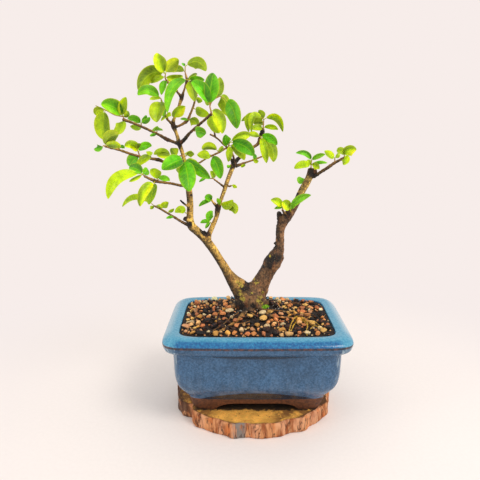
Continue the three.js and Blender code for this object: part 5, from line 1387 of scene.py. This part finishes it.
class Surface:
    """A material built node by node around one Principled shader"""

    def __init__(self, name):
        self.material = bpy.data.materials.new(name)
        self.material.use_nodes = True
        self.tree = self.material.node_tree
        self.shader = self.tree.nodes["Principled BSDF"]

    def put(self, socket, value):
        if isinstance(value, bpy.types.NodeSocket):
            self.tree.links.new(value, socket)
        else:
            socket.default_value = value

    def node(self, kind, sockets=None, output=0, **settings):
        node = self.tree.nodes.new(kind)
        for key, value in settings.items():
            setattr(node, key, value)
        for key, value in (sockets or {}).items():
            self.put(node.inputs[key], value)
        return node.outputs[output]

    def math(self, operation, *values):
        return self.node("ShaderNodeMath", dict(enumerate(values)), operation=operation)

    def times(self, a, b):
        return self.math("MULTIPLY", a, b)

    def absolute(self, value):
        return self.math("ABSOLUTE", value)

    def attribute(self, name, output="Color"):
        return self.node("ShaderNodeAttribute", output=output, attribute_name=name)

    def place(self, stretch=(1, 1, 1)):
        """The place on the object in millimetres, stretched"""
        spot = self.node("ShaderNodeTexCoord", output="Object")
        scale = tuple(v / MM for v in stretch)
        return self.node("ShaderNodeVectorMath", {0: spot, 1: scale}, operation="MULTIPLY")

    def axes(self, spot):
        node = self.tree.nodes.new("ShaderNodeSeparateXYZ")
        self.put(node.inputs[0], spot)
        return node.outputs

    def noise(self, spot, size, detail=4, roughness=0.55):
        """Noise from 0 to 1 whose grains are about size across"""
        sockets = {"Vector": spot, "Scale": 1 / size, "Detail": detail, "Roughness": roughness}
        return self.node("ShaderNodeTexNoise", sockets)

    def cells(self, spot, size, feature="F1"):
        sockets = {"Vector": spot, "Scale": 1 / size}
        return self.node("ShaderNodeTexVoronoi", sockets, feature=feature)

    def fade(self, value, start, end, low=0.0, high=1.0):
        """low up to start, high from end on, and smooth between them"""
        if start > end:
            start, end, low, high = end, start, high, low
        sockets = dict(enumerate((value, start, end, low, high)))
        return self.node("ShaderNodeMapRange", sockets, interpolation_type="SMOOTHSTEP")

    def patches(self, spot, size, start, end, low=0.0, high=1.0):
        """Soft patches about size across, which run from low to high"""
        return self.fade(self.noise(spot, size), start, end, low, high)

    def cracks(self, spot, size, detail, start, end):
        """Thin lines where noise crosses its middle"""
        middle = self.math("SUBTRACT", self.noise(spot, size, detail), 0.5)
        return self.fade(self.absolute(middle), start, end)

    def mix(self, share, a, b, blend="MIX"):
        node = self.tree.nodes.new("ShaderNodeMix")
        node.data_type = "RGBA"
        node.blend_type = blend
        self.put(node.inputs[0], share)
        self.put(node.inputs[6], a)
        self.put(node.inputs[7], b)
        return node.outputs[2]

    def tone(self, share, a, b):
        return self.mix(share, linear(a), linear(b))

    def stain(self, colour, tone, where, strength=1):
        """The colour with a tone over it where a value is 1, at a strength from 0 to 1"""
        share = where if strength == 1 else self.times(where, strength)
        return self.mix(share, colour, linear(tone))

    def shade(self, colour, value):
        """The colour made darker or lighter by a value around 1"""
        grey = self.node("ShaderNodeCombineColor", {0: value, 1: value, 2: value})
        return self.mix(1.0, colour, grey, "MULTIPLY")

    def bump(self, height, distance, strength=1.0, normal=None):
        sockets = {"Height": height, "Distance": distance * MM, "Strength": strength}
        if normal:
            sockets["Normal"] = normal
        return self.node("ShaderNodeBump", sockets)

    def finish(self, colour, roughness, normal=None, **constants):
        self.put(self.shader.inputs["Base Color"], colour)
        self.put(self.shader.inputs["Roughness"], roughness)
        if normal:
            self.put(self.shader.inputs["Normal"], normal)
        for key, value in constants.items():
            self.put(self.shader.inputs[key.replace("_", " ")], value)
        return self.material


def leaf_surface(name, gloss, vein_tone, vein_share, relief):
    """A blade's skin with a midrib, side veins, a pale margin and blotches"""
    s = Surface(name)
    blade = s.axes(s.node("ShaderNodeUVMap", uv_map="blade"))
    across = s.absolute(s.math("MULTIPLY_ADD", blade[0], 2.0, -1.0))
    spot = s.place()
    midrib = s.fade(across, 0.1, 0.02)
    slanted = s.math("MULTIPLY_ADD", blade[1], 9.0, s.times(across, -1.9))
    wander = s.math("MULTIPLY_ADD", s.noise(spot, 3), 0.5, slanted)
    side_veins = s.fade(s.math("PINGPONG", wander, 0.5), 0.13, 0.02)
    side_veins = s.times(side_veins, s.fade(across, 0.98, 0.6))
    net = s.fade(s.cells(spot, 0.9, "DISTANCE_TO_EDGE"), 0.12, 0.0)
    veins = s.math("MAXIMUM", midrib, s.times(side_veins, 0.45))
    colour = s.shade(s.attribute("tint"), s.patches(spot, 5, 0.3, 0.7, 0.72, 1.2))
    colour = s.shade(colour, s.fade(s.noise(spot, 0.8, 2), 0.25, 0.75, 0.88, 1.1))
    colour = s.stain(colour, vein_tone, veins, vein_share)
    margin = s.times(s.fade(across, 0.88, 0.99), 0.5)
    colour = s.stain(colour, (206, 228, 30), margin)
    scars = s.times(s.fade(s.cells(spot, 7), 0.1, 0.05), 0.6)
    colour = s.stain(colour, (110, 90, 20), scars)
    height = s.math("MULTIPLY_ADD", veins, -1.0, s.times(net, -0.25))
    normal = s.bump(height, relief, 0.8)
    roughness = s.patches(spot, 2, 0.3, 0.7, gloss, gloss + 0.14)
    s.put(s.shader.inputs["Subsurface Radius"], (0.7, 1.0, 0.25))
    constants = {"Subsurface_Weight": 0.3, "Subsurface_Scale": 0.0012, "Specular_IOR_Level": 0.35}
    return s.finish(colour, roughness, normal, **constants)


def stalk_surface():
    s = Surface("green_stalk")
    spot = s.place()
    colour = s.shade(s.attribute("tint"), s.patches(spot, 1.2, 0.3, 0.7, 0.8, 1.2))
    blush = s.times(s.patches(spot, 4, 0.5, 0.7), 0.4)
    colour = s.stain(colour, (170, 96, 50), blush)
    return s.finish(colour, s.patches(spot, 1, 0.3, 0.7, 0.4, 0.6), s.bump(s.noise(spot, 0.5), 0.1))


def bark_surface():
    """The tree's bark: streaks, cracks, pale pores and lichen over the tint of each limb"""
    s = Surface("tree_bark")
    spot = s.place()
    drawn = s.place((1, 1, 0.35))
    streaks = s.noise(drawn, 1.6, 6, 0.65)
    patches = s.noise(spot, 7, 3)
    colour = s.shade(s.attribute("tint"), s.fade(streaks, 0.3, 0.72, 0.62, 1.3))
    colour = s.shade(colour, s.fade(patches, 0.3, 0.7, 0.78, 1.2))
    rust = s.times(s.patches(drawn, 3.5, 0.52, 0.68), 0.35)
    colour = s.stain(colour, (150, 84, 36), rust)
    pores = s.cells(s.place((1, 1, 2.4)), 1.9)
    pores = s.times(s.fade(pores, 0.24, 0.12), s.patches(spot, 5, 0.42, 0.56))
    colour = s.stain(colour, (222, 192, 132), pores, 0.6)
    cracks = s.cracks(drawn, 2.4, 5, 0.025, 0.0)
    colour = s.stain(colour, (30, 18, 12), cracks, 0.55)
    lichen = s.attribute("lichen", "Fac")
    crust = s.times(lichen, s.patches(spot, 0.8, 0.32, 0.52))
    colour = s.mix(crust, colour, s.tone(s.noise(spot, 0.5), (150, 132, 30), (226, 206, 84)))
    height = s.math("MULTIPLY_ADD", cracks, -0.7, s.math("ADD", streaks, s.times(pores, 0.5)))
    normal = s.bump(s.noise(spot, 0.5, 5, 0.7), 0.2, 0.6, s.bump(height, 0.5))
    return s.finish(colour, s.fade(streaks, 0.3, 0.7, 0.62, 0.82), normal)


def glaze_body(s, spot, mottle):
    """Mottled blue, paler low down and on the ends, with painted highlight streaks at the corners
    """
    x, y, z = s.axes(spot)
    clouds = s.noise(spot, 16, 3)
    colour = s.tone(s.fade(mottle, 0.3, 0.72), (34, 73, 107), (68, 109, 147))
    colour = s.shade(colour, s.fade(clouds, 0.3, 0.7, 0.8, 1.09))
    rising = s.times(s.fade(z, 34, 60, 0.35, 0.0), s.patches(s.place((1, 1, 0.25)), 5, 0.4, 0.7))
    colour = s.stain(colour, (112, 138, 166), rising)
    wide = s.fade(s.absolute(x), 66, 71)
    colour = s.stain(colour, (118, 146, 164), wide, 0.5)
    # Painted highlights: pale streaks down the corners
    edge = s.times(s.fade(s.absolute(x), 64, 68), s.fade(s.absolute(y), 45, 48))
    thin = s.times(edge, s.fade(s.noise(s.place((1, 1, 0.12)), 1.6, 2), 0.5, 0.62))
    colour = s.stain(colour, (186, 206, 216), thin, 0.6)
    return colour


def glaze_lip(s, spot, mottle, level, colour):
    """The brighter lip, worn pale inside, over a dark line of painted reflection and shade, and the
    clay that shows at its nose
    """
    x, y, z = s.axes(spot)
    lip = s.fade(level, 80.6, 81.8)
    deep = s.tone(s.fade(mottle, 0.35, 0.68), (16, 82, 138), (38, 124, 172))
    worn = s.tone(s.fade(mottle, 0.3, 0.7), (54, 138, 174), (98, 167, 194))
    inner = s.math("ADD", s.fade(level, 84.4, 86.0), s.fade(s.absolute(x), 64, 71))
    colour = s.mix(lip, colour, s.mix(s.math("MINIMUM", inner, 1.0), deep, worn))
    silver = s.times(s.fade(s.absolute(x), 70, 76), s.fade(y, -48, -30))
    colour = s.stain(colour, (176, 196, 204), silver, 0.45)
    # Painted reflection and shade: a dark lens-shaped band under the lip, at the middle of the
    # front and back
    narrow = s.times(x, 1 / 45)
    lens = s.math("MULTIPLY_ADD", s.times(narrow, narrow), -2.2, 2.2)
    off = s.math("SUBTRACT", s.absolute(s.math("SUBTRACT", z, 70.6)), lens)
    colour = s.stain(colour, (20, 36, 54), s.fade(off, 0.3, -0.4), 0.85)
    nose = s.fade(s.absolute(s.math("SUBTRACT", level, 80.2)), 1.4, 0.6)
    nose = s.times(nose, s.patches(spot, 6, 0.2, 0.42))
    umber = s.tone(s.patches(spot, 4, 0.42, 0.6), (28, 30, 42), (92, 52, 36))
    colour = s.mix(s.times(nose, 0.9), colour, umber)
    return colour


def glaze_reflection_and_specks(s, spot, colour):
    """A painted dark reflection above the feet, dark specks and pale flecks; gives the specks as
    well
    """
    x, _, z = s.axes(spot)
    # Painted reflection: a dark arch on the glaze above the feet
    wave = s.times(x, 1 / 47)
    arch = s.math("MULTIPLY_ADD", s.times(wave, wave), -8.6, 35.0)
    painted_dark_reflection = s.fade(s.math("SUBTRACT", z, arch), 0.7, -0.7)
    colour = s.stain(colour, (22, 32, 46), painted_dark_reflection, 0.88)
    specks = s.fade(s.cells(spot, 1.5), 0.2, 0.1)
    specks = s.times(specks, s.patches(spot, 3, 0.5, 0.6))
    colour = s.stain(colour, (30, 52, 78), specks, 0.4)
    flecks = s.times(s.fade(s.cells(s.place((1.3, 1.1, 1.2)), 1.8), 0.16, 0.08), 0.5)
    colour = s.stain(colour, (150, 178, 196), flecks)
    return colour, specks


def glaze_surface():
    """Blue glaze, with painted dark reflections under the lip and above the feet, that stops above
    the bare clay feet
    """
    s = Surface("blue_glaze")
    spot = s.place()
    z = s.axes(spot)[2]
    drift = s.math("MULTIPLY_ADD", s.noise(spot, 12, 2), 1.6, -0.8)
    level = s.math("MULTIPLY_ADD", drift, 0.5, z)
    mottle = s.noise(spot, 1.7, 5, 0.6)
    colour = glaze_body(s, spot, mottle)
    colour = glaze_lip(s, spot, mottle, level, colour)
    colour, specks = glaze_reflection_and_specks(s, spot, colour)
    clay = s.fade(level, 26.0, 25.2)
    earth = s.tone(s.fade(s.noise(spot, 2, 6), 0.3, 0.7), (66, 36, 18), (114, 66, 36))
    colour = s.mix(clay, colour, earth)
    rough = s.patches(spot, 5, 0.3, 0.7, 0.13, 0.24)
    roughness = s.math("MAXIMUM", rough, s.times(clay, 0.72))
    height = s.math("MULTIPLY_ADD", specks, -0.5, s.noise(spot, 3, 2))
    normal = s.bump(height, 0.16, 0.7)
    return s.finish(colour, roughness, normal)


def soil_surface():
    s = Surface("dark_soil")
    spot = s.place()
    crumbs = s.noise(spot, 1.6, 8, 0.7)
    colour = s.tone(s.fade(crumbs, 0.35, 0.7), (14, 11, 11), (58, 42, 34))
    colour = s.stain(colour, (112, 74, 44), s.fade(s.cells(spot, 2.6), 0.2, 0.08))
    fibres = s.fade(s.noise(s.place((0.3, 1, 1)), 0.8, 3), 0.66, 0.74)
    colour = s.stain(colour, (120, 90, 50), fibres, 0.5)
    return s.finish(colour, s.fade(crumbs, 0.3, 0.7, 0.98, 0.8), s.bump(crumbs, 1.2))


def stone_surface():
    s = Surface("gravel_stone")
    spot = s.place()
    grain = s.noise(spot, 0.9, 6, 0.65)
    colour = s.shade(s.attribute("tint"), s.fade(grain, 0.28, 0.72, 0.72, 1.2))
    band = s.times(s.patches(s.place((1, 1, 2.5)), 2.6, 0.55, 0.65), 0.4)
    colour = s.stain(colour, (170, 92, 44), band)
    pits = s.fade(s.cells(spot, 0.8), 0.22, 0.1)
    colour = s.stain(colour, (84, 50, 34), pits, 0.4)
    height = s.math("MULTIPLY_ADD", pits, -0.5, grain)
    return s.finish(colour, s.fade(grain, 0.3, 0.7, 0.66, 0.86), s.bump(height, 0.35))


def chip_surface():
    s = Surface("bark_chip")
    spot = s.place()
    grain = s.noise(s.place((1.6, 0.5, 1)), 0.8, 6)
    colour = s.shade(s.attribute("tint"), s.fade(grain, 0.3, 0.7, 0.6, 1.5))
    return s.finish(colour, s.patches(spot, 1, 0.3, 0.7, 0.6, 0.9), s.bump(grain, 0.3))


def moss_surface():
    s = Surface("green_moss")
    spot = s.place()
    colour = s.shade(s.attribute("tint"), s.patches(spot, 1, 0.3, 0.7, 0.7, 1.3))
    roughness = s.patches(spot, 0.6, 0.3, 0.7, 0.5, 0.7)
    return s.finish(colour, roughness, s.bump(s.noise(spot, 0.4), 0.1))


def slice_bark_surface():
    """Dry bark in upright flakes, from orange brown to pink and grey, with dark cracks"""
    s = Surface("dry_bark")
    spot = s.place()
    x, y, _ = s.axes(spot)
    upright = s.place((1, 1, 0.22))
    flakes = s.noise(upright, 4.5, 6, 0.6)
    colour = s.tone(s.fade(flakes, 0.36, 0.64), (150, 80, 40), (224, 158, 104))
    pink = s.fade(s.noise(upright, 9, 3), 0.48, 0.62)
    colour = s.stain(colour, (222, 164, 128), pink, 0.5)
    orange = s.fade(s.noise(s.place((1, 1, 0.4)), 7, 3), 0.56, 0.66)
    colour = s.stain(colour, (218, 120, 52), orange, 0.55)
    weathered_and_painted_light = s.times(s.fade(s.absolute(s.math("ADD", x, 15.5)), 7, 3.5), s.fade(y, 0, -20))
    weathered_and_painted_light = s.times(weathered_and_painted_light, s.patches(upright, 3, 0.35, 0.5))
    colour = s.stain(colour, (134, 124, 116), weathered_and_painted_light)
    cracks = s.cracks(upright, 6.5, 4, 0.016, 0.002)
    colour = s.stain(colour, (60, 32, 22), cracks, 0.75)
    grime = s.fade(s.noise(spot, 3.5, 5), 0.6, 0.72)
    colour = s.stain(colour, (84, 50, 34), grime, 0.45)
    left_side = s.times(s.fade(x, -54, -62), s.patches(spot, 7, 0.3, 0.5))
    colour = s.stain(colour, (56, 34, 24), left_side, 0.85)
    height = s.math("MULTIPLY_ADD", cracks, -1.0, flakes)
    normal = s.bump(s.noise(spot, 0.8, 6, 0.7), 0.3, 0.7, s.bump(height, 1.1))
    return s.finish(colour, s.fade(flakes, 0.3, 0.7, 0.95, 0.78), normal)


def slice_top_surface():
    """The sawn face with growth rings, mould spots, a dark rim and a painted shadow under the pot
    """
    s = Surface("sawn_wood")
    spot = s.place()
    centre = (-SLICE["x"], -SLICE["y"], 0)
    moved = s.node("ShaderNodeVectorMath", {0: spot, 1: centre}, operation="ADD")
    round_scale = (1, SLICE["half_width"] / SLICE["half_depth"], 0)
    evened = s.node("ShaderNodeVectorMath", {0: moved, 1: round_scale}, operation="MULTIPLY")
    radius = s.node("ShaderNodeVectorMath", {0: evened}, output="Value", operation="LENGTH")
    warped = s.math("MULTIPLY_ADD", s.noise(spot, 16, 3), 9.0, radius)
    rings = s.math("PINGPONG", warped, 0.9)
    colour = s.tone(s.fade(rings, 0.1, 0.8), (231, 138, 54), (255, 210, 97))
    colour = s.shade(colour, s.patches(spot, 8, 0.3, 0.7, 0.78, 1.16))
    x, y, _ = s.axes(spot)
    stain = s.times(s.fade(s.absolute(s.math("ADD", x, 12)), 18, 34), s.patches(spot, 9, 0.4, 0.56))
    colour = s.stain(colour, (92, 50, 24), stain, 0.8)
    # Painted shadow: near black on the wood under the pot and between its feet
    ragged = s.math("MULTIPLY_ADD", s.noise(spot, 4, 6, 0.7), 16.0, y)
    painted_pot_shadow = s.times(s.fade(ragged, -31, -28), s.fade(s.absolute(x), 60, 52))
    colour = s.stain(colour, (12, 7, 5), painted_pot_shadow, 0.96)
    blots = s.fade(s.noise(spot, 2.6, 6, 0.7), 0.61, 0.68)
    dots = s.times(s.fade(s.cells(spot, 3), 0.3, 0.16), s.patches(spot, 6, 0.5, 0.6))
    mould = s.math("MAXIMUM", blots, dots)
    colour = s.stain(colour, (40, 24, 18), mould, 0.85)
    dust = s.times(s.fade(s.noise(spot, 1.2, 5), 0.58, 0.7), 0.6)
    colour = s.stain(colour, (120, 74, 40), dust)
    edge = s.fade(s.math("MULTIPLY_ADD", s.noise(spot, 6), 4.0, radius), 65.5, 69.5)
    colour = s.stain(colour, (74, 42, 26), edge, 0.75)
    saw = s.noise(s.place((0.15, 1.4, 1)), 1.4)
    normal = s.bump(s.math("MULTIPLY_ADD", mould, -0.5, saw), 0.3)
    return s.finish(colour, s.fade(saw, 0.3, 0.7, 0.7, 0.9), normal)


def plastic_surface():
    s = Surface("screen_plastic")
    spot = s.place()
    worn = s.noise(spot, 2.2, 5)
    colour = s.tone(s.fade(worn, 0.35, 0.7), (24, 30, 28), (58, 66, 60))
    colour = s.stain(colour, (90, 72, 52), s.patches(spot, 5, 0.6, 0.75, 0, 0.5))
    return s.finish(colour, s.fade(worn, 0.3, 0.7, 0.35, 0.6), s.bump(s.noise(spot, 0.7), 0.1))


def surfaces():
    return {
        "leaf_upper": leaf_surface("leaf_upper", 0.32, (196, 232, 20), 0.34, 0.14),
        "leaf_under": leaf_surface("leaf_under", 0.5, (200, 214, 40), 0.45, -0.16),
        "stalk": stalk_surface(), "bark": bark_surface(), "glaze": glaze_surface(),
        "soil": soil_surface(), "stone": stone_surface(), "chip": chip_surface(),
        "moss": moss_surface(), "slice_bark": slice_bark_surface(),
        "slice_top": slice_top_surface(), "plastic": plastic_surface(),
    }


def drain_screens(materials):
    for name in ("drain_screen_left", "drain_screen_right"):
        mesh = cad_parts[name].data
        mesh.materials.clear()
        mesh.materials.append(materials["plastic"])


# Studio

FLOOR_RINGS = (100, 200, 400, 800, 3000)
FLOOR_SIDES = 96
AMBIENT = 0.88
# Each light's name, place, aim, width, height and watts, in metres
LIGHTS = [
    ("key", (0.6, -0.6, 1.0), (0, 0, 0.15), 0.5, 0.5, 6),
    ("fill", (-0.95, -0.5, 0.5), (0, 0, 0.12), 0.25, 0.6, 1.4),
    ("left_strip", (-1.1, -0.12, 0.3), (0, 0, 0.05), 0.05, 0.6, 0.9),
    ("right_strip", (1.1, -0.08, 0.3), (0, 0, 0.05), 0.05, 0.6, 0.9),
]


def floor():
    """A pale floor that becomes the background's own colour away from the object"""
    rings = [[Vector((0, 0, 0))], *[circle(0, 0, radius, FLOOR_SIDES) for radius in FLOOR_RINGS]]
    faces = [face[::-1] for face in bridge(rings)]
    mesh = new_mesh("studio_floor", [p for ring in rings for p in ring], faces)
    piece = new_object("studio_floor", mesh)
    s = Surface("studio_paper")
    spot = s.place()
    far = s.node("ShaderNodeVectorMath", {0: spot}, output="Value", operation="LENGTH")
    fibres = s.patches(spot, 3, 0.3, 0.7, 0.985, 1.01)
    s.finish(s.shade(linear(FLOOR_TONE), fibres), 0.9, s.bump(s.noise(spot, 2), 0.02))
    s.put(s.shader.inputs["Specular IOR Level"], 0.1)
    glow = s.node("ShaderNodeEmission", {"Color": linear(BACKGROUND)})
    sockets = {0: s.fade(far, 110, 420), 1: s.shader.outputs[0], 2: glow}
    blend = s.node("ShaderNodeMixShader", sockets)
    s.tree.links.new(blend, s.tree.nodes["Material Output"].inputs["Surface"])
    mesh.materials.append(s.material)


def background():
    """The camera sees the background's colour, and the object is lit by a softer white"""
    world = bpy.data.worlds.new("studio")
    bpy.context.scene.world = world
    world.use_nodes = True
    tree = world.node_tree
    seen = tree.nodes["Background"]
    seen.inputs["Color"].default_value = linear(BACKGROUND)
    felt = tree.nodes.new("ShaderNodeBackground")
    felt.inputs["Color"].default_value = linear(AMBIENT_TONE)
    felt.inputs["Strength"].default_value = AMBIENT
    path = tree.nodes.new("ShaderNodeLightPath")
    blend = tree.nodes.new("ShaderNodeMixShader")
    tree.links.new(path.outputs["Is Camera Ray"], blend.inputs[0])
    tree.links.new(felt.outputs[0], blend.inputs[1])
    tree.links.new(seen.outputs[0], blend.inputs[2])
    tree.links.new(blend.outputs[0], tree.nodes["World Output"].inputs["Surface"])


def soft_box(name, spot, aim, width, height, watts):
    lamp = bpy.data.lights.new(name, "AREA")
    lamp.shape = "RECTANGLE"
    lamp.size, lamp.size_y = width, height
    lamp.energy = watts
    lamp.color = linear(LAMP_TONE)[:3]
    box = new_object(name, lamp)
    box.location = spot
    box.rotation_euler = (Vector(aim) - Vector(spot)).to_track_quat("-Z", "Y").to_euler()


def studio():
    floor()
    background()
    for light in LIGHTS:
        soft_box(*light)
    camera = bpy.data.cameras.new("eye")
    camera.lens = LENS
    camera.sensor_width = SENSOR
    viewer = new_object("eye", camera)
    viewer.location = EYE * MM
    viewer.rotation_euler = (math.radians(90 - PITCH_DOWN), 0, 0)
    scene = bpy.context.scene
    scene.camera = viewer
    scene.view_settings.view_transform = "Standard"


def build():
    materials = surfaces()
    for part in (
        wood_slice, pot, drain_screens, soil, gravel, chips, perlite, loose_roots, moss, trunk,
        leafy_stems,
    ):
        part(materials)
    studio()


build()
